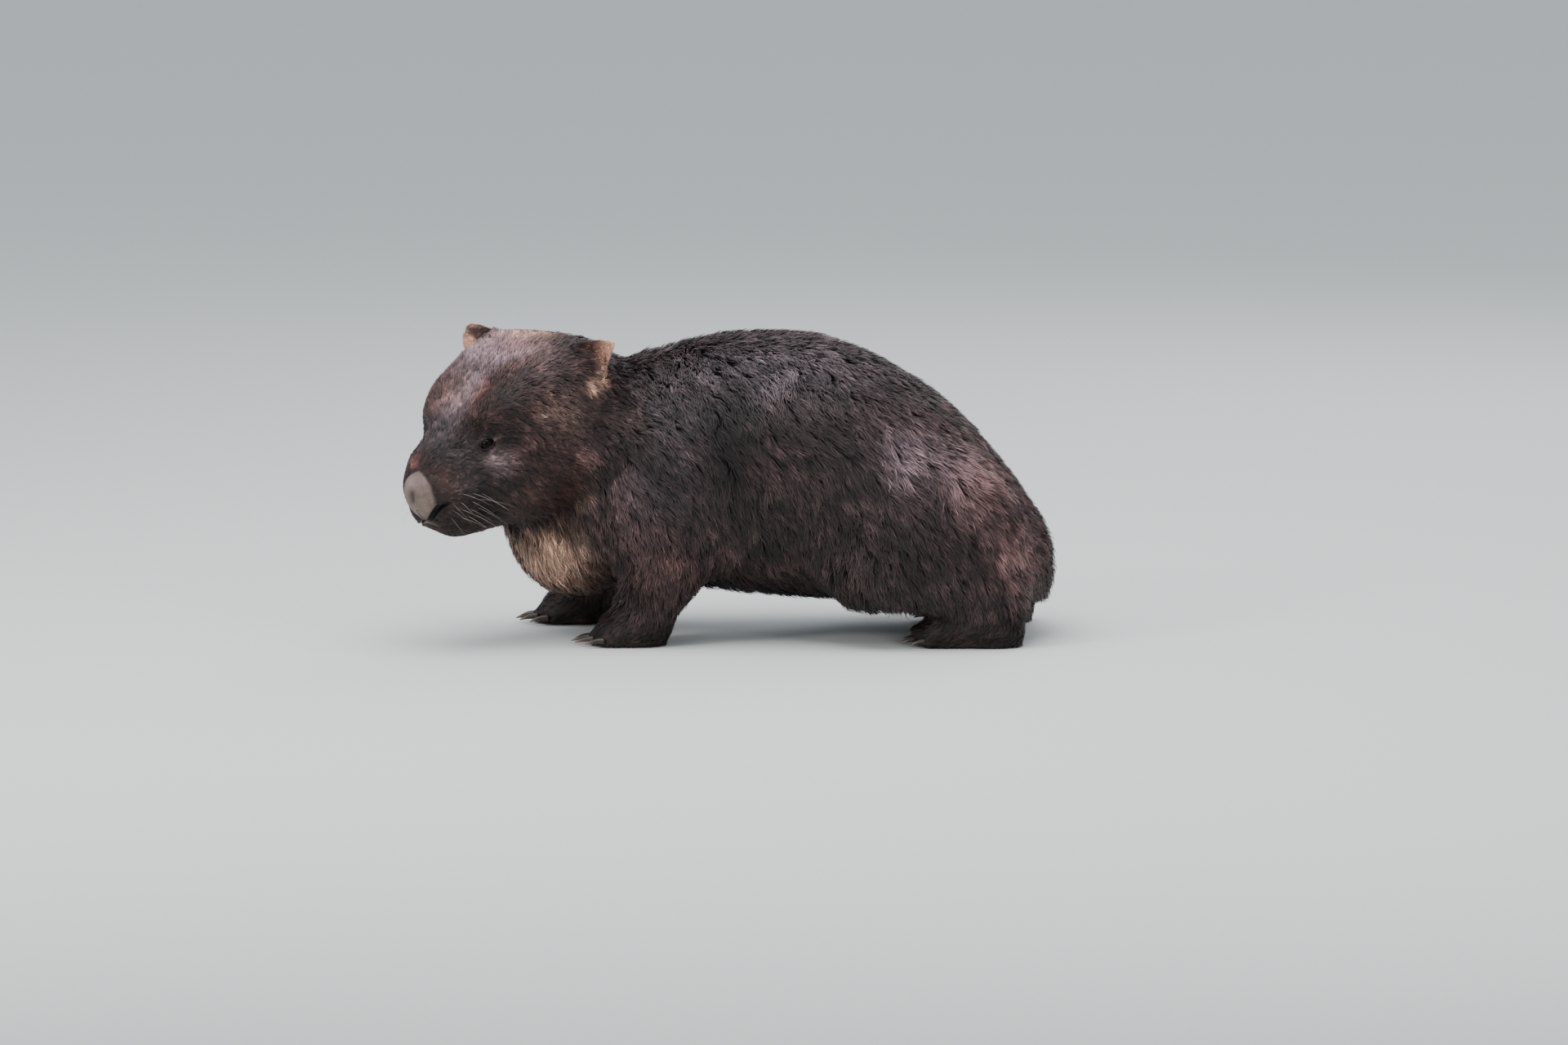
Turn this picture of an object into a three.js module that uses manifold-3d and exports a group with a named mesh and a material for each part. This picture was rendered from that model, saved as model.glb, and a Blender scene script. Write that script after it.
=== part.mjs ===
// A common wombat at life size, hunched on four feet with its head turned to its left.
// Millimetres, +Z up. The nose points towards -X and the animal's left side faces -Y.
import * as THREE from "three";
import { mergeVertices } from "three/addons/utils/BufferGeometryUtils.js";
import Module from "manifold-3d";

const wasm = await Module();
wasm.setup();

// Driving dimensions
const GAP = 0.35; // air between two pieces that touch
const SIDES = { left: -1, right: 1 }; // the sign of Y on each side

// The trunk is a row of rounded stations along the spine, chest first:
// centre, then half length, width and height.
const TRUNK = [
  { x: -128, z: 196, long: 84, wide: 88, tall: 92 },
  { x: -80, z: 187, long: 90, wide: 106, tall: 112 },
  { x: -20, z: 185, long: 95, wide: 122, tall: 134 },
  { x: 50, z: 185, long: 95, wide: 134, tall: 140 },
  { x: 110, z: 177, long: 94, wide: 139, tall: 136 },
  { x: 166, z: 150, long: 88, wide: 137, tall: 118 },
  { x: 218, z: 118, long: 80, wide: 127, tall: 101 },
  { x: 262, z: 82, long: 82, wide: 108, tall: 76 },
];
const TORSO_LINE = [
  [-150, 136],
  [-80, 172],
  [10, 180],
  [100, 172],
  [190, 140],
  [258, 96],
];
const TRUNK_STEPS = 15;
const TRUNK_BLEND = 14;
const CHEST = { at: [-164, -8, 120], radii: [74, 74, 80] };
const BODY_BLEND = 34;
const NECK = { from: [-104, 0, 191], to: [-180, -12, 216], wide: 86, narrow: 84 };

// Where the neck parts from the shoulders.
const SHOULDER_POINT = [-245, -60, 128];
const SHOULDER_NORMAL = [-0.561, -0.51, 0.652];

// The head has its own frame: x forward, y to the animal's left, z up, from the middle between the ears.
const HEAD_AT = [-196, -25, 209];
const HEAD_YAW = 45; // degrees towards the animal's left
const HEAD_PITCH = 13; // degrees, nose down
const HEAD_ROLL = -2;
const HEAD_LINE = [
  [20, 0, 30],
  [150, 0, -2],
]; // the line inside the head from which its skin is pushed out
const NAPE_BACK = -28; // where the head parts from the neck

// How far each wrapped part may reach beyond its own form, into the soft folds between parts.
const REACH = { torso: 30, neck: 110, head: 90, foot: 6 };

// Forms of the head: eggs by their middle and radii, limbs by their two ends and radii.
const SKULL = {
  blend: 24,
  lipBlend: 12,
  cranium: { at: [4, 0, 48], radii: [90, 86, 72] },
  temple: { at: [24, 42, 58], radii: [80, 48, 55], tilt: -12 },
  brow: { at: [93, 40, 53], radii: [45, 36, 37], tilt: -25 },
  cheek: { at: [50, 50, 0], radii: [74, 42, 58] },
  muzzle: { from: [110, 15, 13], to: [148, 14, 9], radii: [47, 37] },
  jaw: { from: [70, 0, -26], to: [142, 0, -31], radii: [42, 30] },
  nose: { at: [168, 0, 0], radii: [30, 31, 31] },
  lip: { at: [156, 20, -24], radii: [26, 19, 19] },
};

const EYE = { at: [119.5, 39.3, 39.6], look: [0.55, 0.75, 0.36], radius: 9.5, lid: 2.1 };
const EYE_OPENING = { wide: 17, above: 5.2, below: 4, tilt: 17 };
const SOCKET = { at: [146, 71.5, 49], radii: [37, 25, 25], blend: 25 };

// The outline of the nose pad from the front: half of it, from the top down.
const PAD_TOP = 27;
const PAD_BOTTOM = -28;
const PAD_HALF = [
  [8, 24],
  [16, 18],
  [21, 7],
  [22, -6],
  [18, -18],
  [9, -26],
];
const PAD_BACK = 166;
const PAD_RISE = 1.4;

// Points that the mouth and a nostril pass on the skin,
// from the corner to the front and from the lip upwards.
const MOUTH = [
  [116, 46, -30],
  [136, 42, -40],
  [160, 33, -42],
  [182, 16, -38],
  [193, 0, -34],
];
const NOSTRIL = [
  [190, 5, -29],
  [186, 15, -19],
  [182, 21, -10],
  [172, 26, -8],
];
const MOUTH_RADII = [1.3, 1.8, 2.1, 2.4, 2.4, 2.4, 2.1, 1.8, 1.3];
const MOUTH_DEPTH = 0.6; // how deep under the skin the middle of a channel runs
const NOSTRIL_RADII = [1.5, 3, 3.6, 1.5];
const NOSTRIL_DEPTH = 1.4;
const MUZZLE_CORE = [120, 0, -8]; // a point inside, from which the skin of the muzzle is measured

// Ears: the ends of the base on the head, then the tip.
const EARS = {
  left: { inner: [0, 44, 117], outer: [-14, 84, 57], tip: [-29, 102, 118], blunt: 0.1, full: 0.72 },
  right: { inner: [5, -31, 126], outer: [-8, -84, 60], tip: [-3, -99, 118], blunt: 0.25, full: 0.4 },
};
const EAR = { thick: 5, cup: 15, root: 0.22 };

// Legs: an egg or limb by its places along X, out from the middle plane and up.
// stride says how much of the foot's reach ahead of the square stance each place takes up.
const FORELEG = {
  shoulder: { at: [-82, 84, 158], stride: 0.3, radii: [58, 42, 82], tilt: 8 },
  upper: { from: [-88, 92, 128], to: [-64, 97, 84], stride: [0.5, 0.7], radii: [46, 37] },
  lower: { from: [-64, 97, 84], to: [-90, 93, 26], stride: [0.7, 1], radii: [36, 29] },
};
const HIND_LEG = {
  rump: { at: [222, 96, 112], stride: 0.4, radii: [84, 46, 90], tilt: -28 },
  shank: { from: [150, 112, 76], to: [262, 104, 42], stride: [1, 1], radii: [42, 34] },
  thigh: { from: [200, 104, 100], to: [146, 112, 82], stride: [1, 1], radii: [54, 40] },
};
const FORE_PALM = { at: [-104, 0, 18], radii: [37, 34, 22] };
const FORE_HEEL = { from: [-92, 0, 50], to: [-96, 0, 18], radii: [30, 27] };
const HIND_PALM = { from: [288, 0, 15], to: [234, 0, 14], radii: [24, 25] };
const HIND_HEEL = { from: [280, 0, 60], to: [278, 0, 22], radii: [32, 27] };
const FORE_TOE = { root: [-116, 14], tip: [-142, 9], spread: 0.8, radii: [13, 9] };
const HIND_TOE = { root: [228, 13], tip: [200, 9], spread: 0.9, radii: [12, 8.5] };
const FORE_REACH = { left: 0, right: -62 }; // how far each forefoot stands ahead of the square stance
const FORE_FOOT = 93; // the middle of a forefoot, from the middle plane
const HIND_REACH = { left: 0, right: 14 };
const HIND_FOOT = 104;
const WRIST_HEIGHT = 36;
const ANKLE_HEIGHT = 38;
const FORE_CUT = 60; // distance from the middle plane at which each leg begins
const HIND_CUT = 58;
const LEG_SPAN = 190; // and at which the slab that parts it from the torso ends

// The side view of the slab that parts each leg from the torso: along X, up, and the share of the reach.
const FORE_OUTLINE = [
  [-126, 206, 0.3],
  [-92, 238, 0.3],
  [-52, 218, 0.3],
  [-26, 164, 0.4],
  [-18, 104, 0.6],
  [-30, 60, 0.8],
  [-46, 24, 1],
  [-130, 24, 1],
  [-122, 74, 0.8],
  [-130, 120, 0.5],
  [-138, 160, 0.4],
];
const HIND_OUTLINE = [
  [272, 192, 0.4],
  [326, 146, 0.4],
  [352, 90, 0.5],
  [352, 26, 0.5],
  [96, 26, 1],
  [90, 84, 1],
  [112, 136, 0.7],
  [158, 182, 0.5],
  [218, 212, 0.4],
];
const FORE_ROOM = { at: [-84, 90, 130], stride: 0.5, radii: [120, 95, 150] }; // how far each leg may reach
const HIND_ROOM = { at: [206, 100, 110], stride: 0.5, radii: [160, 95, 140] };
const FORE_LINE = [
  [-84, 86, 170, 0.35],
  [-70, 96, 96, 0.65],
  [-88, 95, 34, 1],
];
const HIND_LINE = [
  [240, 96, 96, 0.5],
  [160, 104, 80, 0.8],
];
const FORE_SOLE_LINE = [
  [-92, 22],
  [-118, 13],
];
const HIND_SOLE_LINE = [
  [284, 20],
  [216, 12],
];

const TAIL = { from: [314, 0, 74], to: [332, 0, 47], root: 13, tip: 9 };

// Claws: how far each toe lies from the middle of the foot, how far back, and which way it points.
const FORE_TOES = [-26, -13, 0, 13, 26];
const FORE_TOE_BACK = [15, 4, 0, 3, 13];
const FORE_CLAW = { length: 27, wide: 7.5, tall: 7 };
const HIND_TOES = [-20, -7, 7, 20];
const HIND_TOE_BACK = [11, 2, 0, 8];
const HIND_CLAW = { length: 20, wide: 7, tall: 6 };
const CLAW_BEND = 4.2; // how far the tip bends down
const CLAW_SPREAD = 0.35; // degrees outwards for each millimetre off the foot's middle line
const CLAW_HEIGHT = 8.6;
const CLAW_FLOOR = 0.6; // no claw reaches lower than this

const rad = THREE.MathUtils.degToRad;
const lerp = THREE.MathUtils.lerp;
const clamp = THREE.MathUtils.clamp;
const at = (x, y, z) => new THREE.Vector3(x, y, z);

// Fields: a function of a point, negative inside the form and close to the distance from its surface.

function soft(a, b, reach) {
  const near = Math.max(reach - Math.abs(a - b), 0) / reach;
  return Math.min(a, b) - (near * near * reach) / 4;
}

const fused = (reach, ...forms) => (p) => forms.map((f) => f(p)).reduce((a, b) => soft(a, b, reach));
const hollowed = (form, hole, reach) => (p) => -soft(-form(p), hole(p), reach);
const within = (form, limit, margin) => (p) => Math.max(form(p), limit(p) - margin);

function egg(centre, radii, tilt = 0) {
  const [cx, cy, cz] = centre;
  const [rx, ry, rz] = radii;
  const c = Math.cos(rad(tilt));
  const s = Math.sin(rad(tilt));
  return ({ x, y, z }) => {
    const dx = x - cx;
    const dz = z - cz;
    const u = (c * dx + s * dz) / rx;
    const v = (y - cy) / ry;
    const w = (c * dz - s * dx) / rz;
    const k = Math.hypot(u, v, w);
    return (k * (k - 1)) / Math.max(Math.hypot(u / rx, v / ry, w / rz), 1e-6);
  };
}

function limb(from, to, startRadius, endRadius) {
  const a = at(...from);
  const axis = at(...to).sub(a);
  const span = axis.lengthSq();
  return ({ x, y, z }) => {
    const px = x - a.x;
    const py = y - a.y;
    const pz = z - a.z;
    const t = clamp((px * axis.x + py * axis.y + pz * axis.z) / span, 0, 1);
    const away = Math.hypot(px - t * axis.x, py - t * axis.y, pz - t * axis.z);
    return away - lerp(startRadius, endRadius, t);
  };
}

const pair = (reach, make) => fused(reach, make(1), make(-1));

// Head frame
const forward = at(
  -Math.cos(rad(HEAD_YAW)) * Math.cos(rad(HEAD_PITCH)),
  -Math.sin(rad(HEAD_YAW)) * Math.cos(rad(HEAD_PITCH)),
  -Math.sin(rad(HEAD_PITCH)),
);
const levelLeft = at(Math.sin(rad(HEAD_YAW)), -Math.cos(rad(HEAD_YAW)), 0);
const leftward = levelLeft.applyAxisAngle(forward, rad(HEAD_ROLL));
const upward = forward.clone().cross(leftward);
const headFrame = new THREE.Matrix4().makeBasis(forward, leftward, upward).setPosition(at(...HEAD_AT));
const toHead = headFrame.clone().invert();
const onHead = (x, y, z) => at(x, y, z).applyMatrix4(headFrame);
const spot = at(0, 0, 0);
const inHead = (form) => (p) => form(spot.copy(p).applyMatrix4(toHead));

// Head form, in the head frame. An egg or limb given off the middle is repeated on the other side.
const sided = ([x, y, z], side) => [x, y * side, z];
const eggPair = (reach, { at: place, radii, tilt }) =>
  pair(reach, (side) => egg(sided(place, side), radii, tilt));
const limbPair = (reach, { from, to, radii }) =>
  pair(reach, (side) => limb(sided(from, side), sided(to, side), ...radii));
const skull = fused(
  SKULL.lipBlend,
  fused(
    SKULL.blend,
    egg(SKULL.cranium.at, SKULL.cranium.radii),
    eggPair(24, SKULL.temple),
    eggPair(16, SKULL.brow),
    eggPair(20, SKULL.cheek),
    limbPair(18, SKULL.muzzle),
    limb(SKULL.jaw.from, SKULL.jaw.to, ...SKULL.jaw.radii),
  ),
  egg(SKULL.nose.at, SKULL.nose.radii),
  eggPair(8, SKULL.lip),
);
const sockets = eggPair(4, SOCKET);
const headShape = hollowed(skull, sockets, SOCKET.blend);
const headForm = inHead(headShape);

// Trunk form
const spine = new THREE.CatmullRomCurve3(TRUNK.map((s) => at(s.x, 0, s.z)));
const girth = new THREE.CatmullRomCurve3(TRUNK.map((s) => at(s.long, s.wide, s.tall)));
const trunkEggs = Array.from({ length: TRUNK_STEPS }, (_, i) => {
  const t = i / (TRUNK_STEPS - 1);
  const along = spine.getTangent(t);
  const tilt = THREE.MathUtils.radToDeg(Math.atan2(along.z, along.x));
  return egg(spine.getPoint(t).toArray(), girth.getPoint(t).toArray(), tilt);
});
const trunkForm = fused(BODY_BLEND, fused(TRUNK_BLEND, ...trunkEggs), egg(CHEST.at, CHEST.radii));
const neckForm = limb(NECK.from, NECK.to, NECK.wide, NECK.narrow);

// Leg forms
function stood([x, y, z], side, reach) {
  return [x + reach, side * y, z];
}

function legEgg({ at: place, stride, radii, tilt }, side, reach) {
  return egg(stood(place, side, reach * stride), radii, tilt);
}

function legLimb({ from, to, stride, radii }, side, reach) {
  return limb(stood(from, side, reach * stride[0]), stood(to, side, reach * stride[1]), ...radii);
}

function foreleg(side, reach) {
  const { shoulder, upper, lower } = FORELEG;
  return fused(18, legEgg(shoulder, side, reach), legLimb(upper, side, reach), legLimb(lower, side, reach));
}

function hindLeg(side, reach) {
  const { rump, shank, thigh } = HIND_LEG;
  return fused(22, legEgg(rump, side, reach), legLimb(shank, side, reach), legLimb(thigh, side, reach));
}

function toes({ root, tip, spread, radii }, offsets, backs, y, reach) {
  return offsets.map((off, i) => {
    const from = [root[0] + reach, y + off * spread, root[1]];
    const to = [tip[0] + reach + backs[i], y + off, tip[1]];
    return limb(from, to, ...radii);
  });
}

// A part of a foot, given from the foot's own middle line.
const onFoot = ([x, y, z], middle, reach) => [x + reach, y + middle, z];

function forefoot(side, reach) {
  const y = side * FORE_FOOT;
  const palm = egg(onFoot(FORE_PALM.at, y, reach), FORE_PALM.radii);
  const heel = limb(onFoot(FORE_HEEL.from, y, reach), onFoot(FORE_HEEL.to, y, reach), ...FORE_HEEL.radii);
  return fused(5, fused(10, palm, heel), ...toes(FORE_TOE, FORE_TOES, FORE_TOE_BACK, y, reach));
}

function hindFoot(side, reach) {
  const y = side * HIND_FOOT;
  const palm = limb(onFoot(HIND_PALM.from, y, reach), onFoot(HIND_PALM.to, y, reach), ...HIND_PALM.radii);
  const heel = limb(onFoot(HIND_HEEL.from, y, reach), onFoot(HIND_HEEL.to, y, reach), ...HIND_HEEL.radii);
  return fused(5, fused(12, palm, heel), ...toes(HIND_TOE, HIND_TOES, HIND_TOE_BACK, y, reach));
}

const legs = Object.fromEntries(
  Object.entries(SIDES).map(([name, side]) => [
    name,
    {
      fore: foreleg(side, FORE_REACH[name]),
      hind: hindLeg(side, HIND_REACH[name]),
      forefoot: forefoot(side, FORE_REACH[name]),
      hindFoot: hindFoot(side, HIND_REACH[name]),
    },
  ]),
);
const wholeLegs = Object.values(legs).flatMap((leg) => [
  fused(12, leg.fore, leg.forefoot),
  fused(14, leg.hind, leg.hindFoot),
]);
const wombat = fused(BODY_BLEND, fused(BODY_BLEND, trunkForm, neckForm, headForm), fused(10, ...wholeLegs));

// Solids

function solidOf(geometry) {
  const bare = geometry.clone();
  for (const name of Object.keys(bare.attributes)) if (name !== "position") bare.deleteAttribute(name);
  const merged = mergeVertices(bare, 1e-3);
  const triVerts = new Uint32Array(merged.index.array);
  const vertProperties = new Float32Array(merged.attributes.position.array);
  const solid = new wasm.Manifold(new wasm.Mesh({ numProp: 3, vertProperties, triVerts }));
  if (solid.volume() > 0) return solid;
  for (let i = 0; i < triVerts.length; i += 3) {
    [triVerts[i], triVerts[i + 1]] = [triVerts[i + 1], triVerts[i]];
  }
  return new wasm.Manifold(new wasm.Mesh({ numProp: 3, vertProperties, triVerts }));
}

function largest(solid) {
  return solid.decompose().sort((a, b) => b.volume() - a.volume())[0];
}

function geometryOf(solid) {
  const { numProp, vertProperties, triVerts } = solid.getMesh();
  const corners = new Float32Array((vertProperties.length / numProp) * 3);
  for (let i = 0; i < corners.length / 3; i++)
    corners.set(vertProperties.subarray(i * numProp, i * numProp + 3), i * 3);
  const geometry = new THREE.BufferGeometry();
  geometry.setAttribute("position", new THREE.BufferAttribute(corners, 3));
  geometry.setIndex(new THREE.BufferAttribute(new Uint32Array(triVerts), 1));
  geometry.computeVertexNormals();
  return geometry;
}

const animal = new THREE.Group();
function place(name, solid, material) {
  const mesh = new THREE.Mesh(geometryOf(largest(solid)), material);
  mesh.name = name;
  animal.add(mesh);
}

// How far a ray runs from inside a form to its surface.
function surfaceDistance(field, from, direction) {
  const stride = 4;
  const probe = at(0, 0, 0);
  const value = (distance) => field(probe.copy(from).addScaledVector(direction, distance));
  let inside = 0;
  let outside = stride;
  while (value(outside) < 0) {
    inside = outside;
    outside += stride;
    if (outside > 500) throw new Error("the form is open along a ray");
  }
  for (let i = 0; i < 13; i++) {
    const middle = (inside + outside) / 2;
    if (value(middle) < 0) inside = middle;
    else outside = middle;
  }
  return (inside + outside) / 2;
}

// Wraps a form: a capsule laid along a line inside it, each of whose points is pushed out to the surface.
function wrap(field, line, { around, along, caps, top = at(0, 0, 1), grow = 0 }) {
  const span = 2;
  const capsule = new THREE.CapsuleGeometry(1, span, caps, around, along);
  capsule.deleteAttribute("normal");
  capsule.deleteAttribute("uv");
  const geometry = mergeVertices(capsule, 1e-4);
  const corners = geometry.attributes.position;
  const corner = at(0, 0, 0);
  for (let i = 0; i < corners.count; i++) {
    corner.fromBufferAttribute(corners, i);
    const height = clamp(corner.y, -span / 2, span / 2);
    const t = height / span + 0.5;
    const tangent = line.getTangent(t);
    const side = tangent.clone().cross(top).normalize();
    const up = side.clone().cross(tangent);
    const direction = side.multiplyScalar(corner.x).addScaledVector(up, corner.z);
    direction.addScaledVector(tangent, corner.y - height).normalize();
    const start = line.getPoint(t);
    const distance = surfaceDistance(field, start, direction) + grow;
    corners.setXYZ(i, ...start.addScaledVector(direction, distance).toArray());
  }
  return solidOf(geometry);
}

// A block that fills the half-space behind a plane, as seen along the plane's normal.
function behind(point, normal, shift = 0) {
  const size = 1600;
  const block = new THREE.BoxGeometry(size, size, size);
  block.translate(0, 0, -size / 2 + shift);
  block.applyQuaternion(new THREE.Quaternion().setFromUnitVectors(at(0, 0, 1), normal.clone().normalize()));
  block.translate(point.x, point.y, point.z);
  return solidOf(block);
}
const ahead = (point, normal) => behind(point, normal.clone().negate(), -GAP);
const above = (height) => ahead(at(0, 0, height), at(0, 0, 1));
const below = (height) => behind(at(0, 0, height), at(0, 0, 1));

// A closed outline moved outwards by an even margin.
function outlineShape(corners, grow, smooth = 36) {
  const curve = new THREE.CatmullRomCurve3(corners.map(([x, y]) => at(x, y, 0)), true);
  const area = THREE.ShapeUtils.area(corners.map(([x, y]) => new THREE.Vector2(x, y)));
  const points = Array.from({ length: smooth }, (_, i) => {
    const along = curve.getTangent(i / smooth);
    const point = curve.getPoint(i / smooth);
    const outwards = Math.sign(area) * grow;
    return new THREE.Vector2(point.x + along.y * outwards, point.y - along.x * outwards);
  });
  return new THREE.Shape(points);
}

// A slab with an outline drawn in the side view, from one distance beside the middle plane to another.
function sideSlab(corners, side, near, far, grow = 0) {
  const slab = new THREE.ExtrudeGeometry(outlineShape(corners, grow), {
    depth: far - near + grow,
    bevelEnabled: false,
  });
  slab.rotateX(Math.PI / 2);
  slab.translate(0, side > 0 ? far : -near + grow, 0);
  return solidOf(slab);
}

// Materials
const fur = new THREE.MeshStandardMaterial({ color: 0x4b3f3a, roughness: 0.95, metalness: 0 });
const bareSkin = new THREE.MeshStandardMaterial({ color: 0x76675e, roughness: 0.6, metalness: 0 });
const horn = new THREE.MeshStandardMaterial({ color: 0x3a322c, roughness: 0.4, metalness: 0 });
const cornea = new THREE.MeshStandardMaterial({ color: 0x0a0808, roughness: 0.05, metalness: 0 });

const shoulderPoint = at(...SHOULDER_POINT);
const shoulderNormal = at(...SHOULDER_NORMAL);
const napePoint = onHead(NAPE_BACK, 0, 0);

// Torso and neck
const torsoLine = new THREE.CatmullRomCurve3(TORSO_LINE.map(([x, z]) => at(x, 0, z)));
let torso = wrap(within(wombat, trunkForm, REACH.torso), torsoLine, { around: 40, along: 27, caps: 6 });
torso = torso.intersect(behind(shoulderPoint, shoulderNormal)).intersect(above(ANKLE_HEIGHT));

const neckLine = new THREE.LineCurve3(at(...NECK.from), at(...NECK.to));
const neck = wrap(within(wombat, neckForm, REACH.neck), neckLine, { around: 36, along: 7, caps: 6 })
  .intersect(ahead(shoulderPoint, shoulderNormal))
  .intersect(behind(napePoint, forward));
place("neck", neck, fur);

// Legs and feet
for (const [name, side] of Object.entries(SIDES)) {
  const leg = legs[name];
  const fore = FORE_REACH[name];
  const hind = HIND_REACH[name];
  const foreOutline = FORE_OUTLINE.map(([x, z, stride]) => [x + fore * stride, z]);
  const hindOutline = HIND_OUTLINE.map(([x, z, stride]) => [x + hind * stride, z]);
  const foreSlab = (grow) => sideSlab(foreOutline, side, FORE_CUT, LEG_SPAN, grow);
  const hindSlab = (grow) => sideSlab(hindOutline, side, HIND_CUT, LEG_SPAN, grow);
  const foreRoom = legEgg(FORE_ROOM, side, fore);
  const hindRoom = legEgg(HIND_ROOM, side, hind);
  const lineOf = (places, reach) =>
    new THREE.CatmullRomCurve3(places.map(([x, y, z, stride]) => at(x + reach * stride, side * y, z)));
  const foreLine = lineOf(FORE_LINE, fore);
  const hindLine = lineOf(HIND_LINE, hind);
  const foreMesh = { around: 24, along: 10, caps: 5, top: at(1, 0, 0) };
  const hindMesh = { around: 28, along: 6, caps: 7, top: at(0, 1, 0) };
  const foreSolid = wrap(within(wombat, foreRoom, 0), foreLine, foreMesh)
    .intersect(foreSlab(0))
    .intersect(behind(shoulderPoint, shoulderNormal))
    .intersect(above(WRIST_HEIGHT));
  const hindSolid = wrap(within(wombat, hindRoom, 0), hindLine, hindMesh)
    .intersect(hindSlab(0))
    .intersect(above(ANKLE_HEIGHT));
  torso = torso.subtract(foreSlab(GAP)).subtract(hindSlab(GAP));
  place("foreleg_" + name, foreSolid, fur);
  place("hind_leg_" + name, hindSolid, fur);

  const soleLine = (places, y, reach) => new THREE.LineCurve3(...places.map(([x, z]) => at(x + reach, y, z)));
  const forefootLine = soleLine(FORE_SOLE_LINE, side * FORE_FOOT, fore);
  const hindFootLine = soleLine(HIND_SOLE_LINE, side * HIND_FOOT, hind);
  const paw = wrap(within(wombat, leg.forefoot, REACH.foot), forefootLine, { around: 20, along: 3, caps: 6 })
    .intersect(below(WRIST_HEIGHT))
    .subtract(below(0));
  const sole = wrap(within(wombat, leg.hindFoot, REACH.foot), hindFootLine, { around: 22, along: 6, caps: 5 })
    .intersect(below(ANKLE_HEIGHT))
    .subtract(below(0));
  place("forefoot_" + name, paw, fur);
  place("hind_foot_" + name, sole, fur);

  // A claw is a long flattened drop, bent down towards its tip, whose root lies in the toe.
  const claws = (kind, foot, shape, toes, back, front, y) =>
    toes.forEach((off, i) => {
      const drop = new THREE.SphereGeometry(1, 8, 6);
      drop.rotateZ(Math.PI / 2);
      drop.scale(shape.length, shape.wide / 2, shape.tall / 2);
      const corners = drop.attributes.position;
      for (let k = 0; k < corners.count; k++) {
        const reach = corners.getX(k) / shape.length;
        corners.setZ(k, corners.getZ(k) - CLAW_BEND * reach * reach);
      }
      drop.rotateZ(rad(-off * CLAW_SPREAD));
      drop.translate(front + back[i], y + off, CLAW_HEIGHT);
      place(`${kind}_claw_${name}_${i + 1}`, solidOf(drop).subtract(foot).subtract(below(CLAW_FLOOR)), horn);
    });
  const pawMesh = { around: 20, along: 3, caps: 6, grow: GAP };
  const soleMesh = { around: 22, along: 6, caps: 5, grow: GAP };
  const grownPaw = wrap(within(wombat, leg.forefoot, REACH.foot), forefootLine, pawMesh);
  const grownSole = wrap(within(wombat, leg.hindFoot, REACH.foot), hindFootLine, soleMesh);
  claws("fore", grownPaw, FORE_CLAW, FORE_TOES, FORE_TOE_BACK, FORE_TOE.tip[0] + fore, side * FORE_FOOT);
  claws("hind", grownSole, HIND_CLAW, HIND_TOES, HIND_TOE_BACK, HIND_TOE.tip[0] + hind, side * HIND_FOOT);
}

// Head
const headLine = new THREE.LineCurve3(onHead(...HEAD_LINE[0]), onHead(...HEAD_LINE[1]));
const headWrap = (grow) =>
  wrap(within(wombat, headForm, REACH.head), headLine, { around: 42, along: 18, caps: 8, top: upward, grow });
const chain = (points, radii) =>
  fused(2, ...points.slice(1).map((point, i) => limb(points[i], point, radii[i], radii[i + 1])));

// The point on the head's skin that lies beyond a point, seen from the muzzle's core, sunk by a depth.
function onSkin(point, depth) {
  const core = at(...MUZZLE_CORE);
  const direction = at(...point).sub(core).normalize();
  return core.addScaledVector(direction, surfaceDistance(headShape, core, direction) - depth).toArray();
}

// A round channel that follows the skin.
function channel(points, radii, depth, options) {
  const path = points.map((p) => onSkin(p, depth));
  const line = new THREE.CatmullRomCurve3(path.map((p) => onHead(...p)));
  return wrap(inHead(chain(path, radii)), line, { top: upward, ...options });
}

function padPrism(grow) {
  const half = PAD_HALF;
  const corners = [[0, PAD_TOP], ...half, [0, PAD_BOTTOM], ...half.map(([y, z]) => [-y, z]).reverse()];
  const prism = new THREE.ExtrudeGeometry(outlineShape(corners, grow, 20), {
    depth: 60,
    bevelEnabled: false,
  });
  prism.applyMatrix4(new THREE.Matrix4().makeBasis(at(0, 1, 0), at(0, 0, 1), at(1, 0, 0)));
  prism.translate(PAD_BACK - grow, 0, 0);
  prism.applyMatrix4(headFrame);
  return solidOf(prism);
}

let head = headWrap(0).intersect(ahead(shoulderPoint, shoulderNormal)).intersect(ahead(napePoint, forward));
let pad = headWrap(PAD_RISE).intersect(padPrism(0));
head = head.subtract(padPrism(GAP));

const mirrored = (place) => sided(place, -1);
const mouthPoints = [...MOUTH, ...MOUTH.slice(0, -1).map(mirrored).reverse()];
const mouth = channel(mouthPoints, MOUTH_RADII, MOUTH_DEPTH, { around: 8, along: 22, caps: 1 });
head = head.subtract(mouth);
pad = pad.subtract(mouth);

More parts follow.
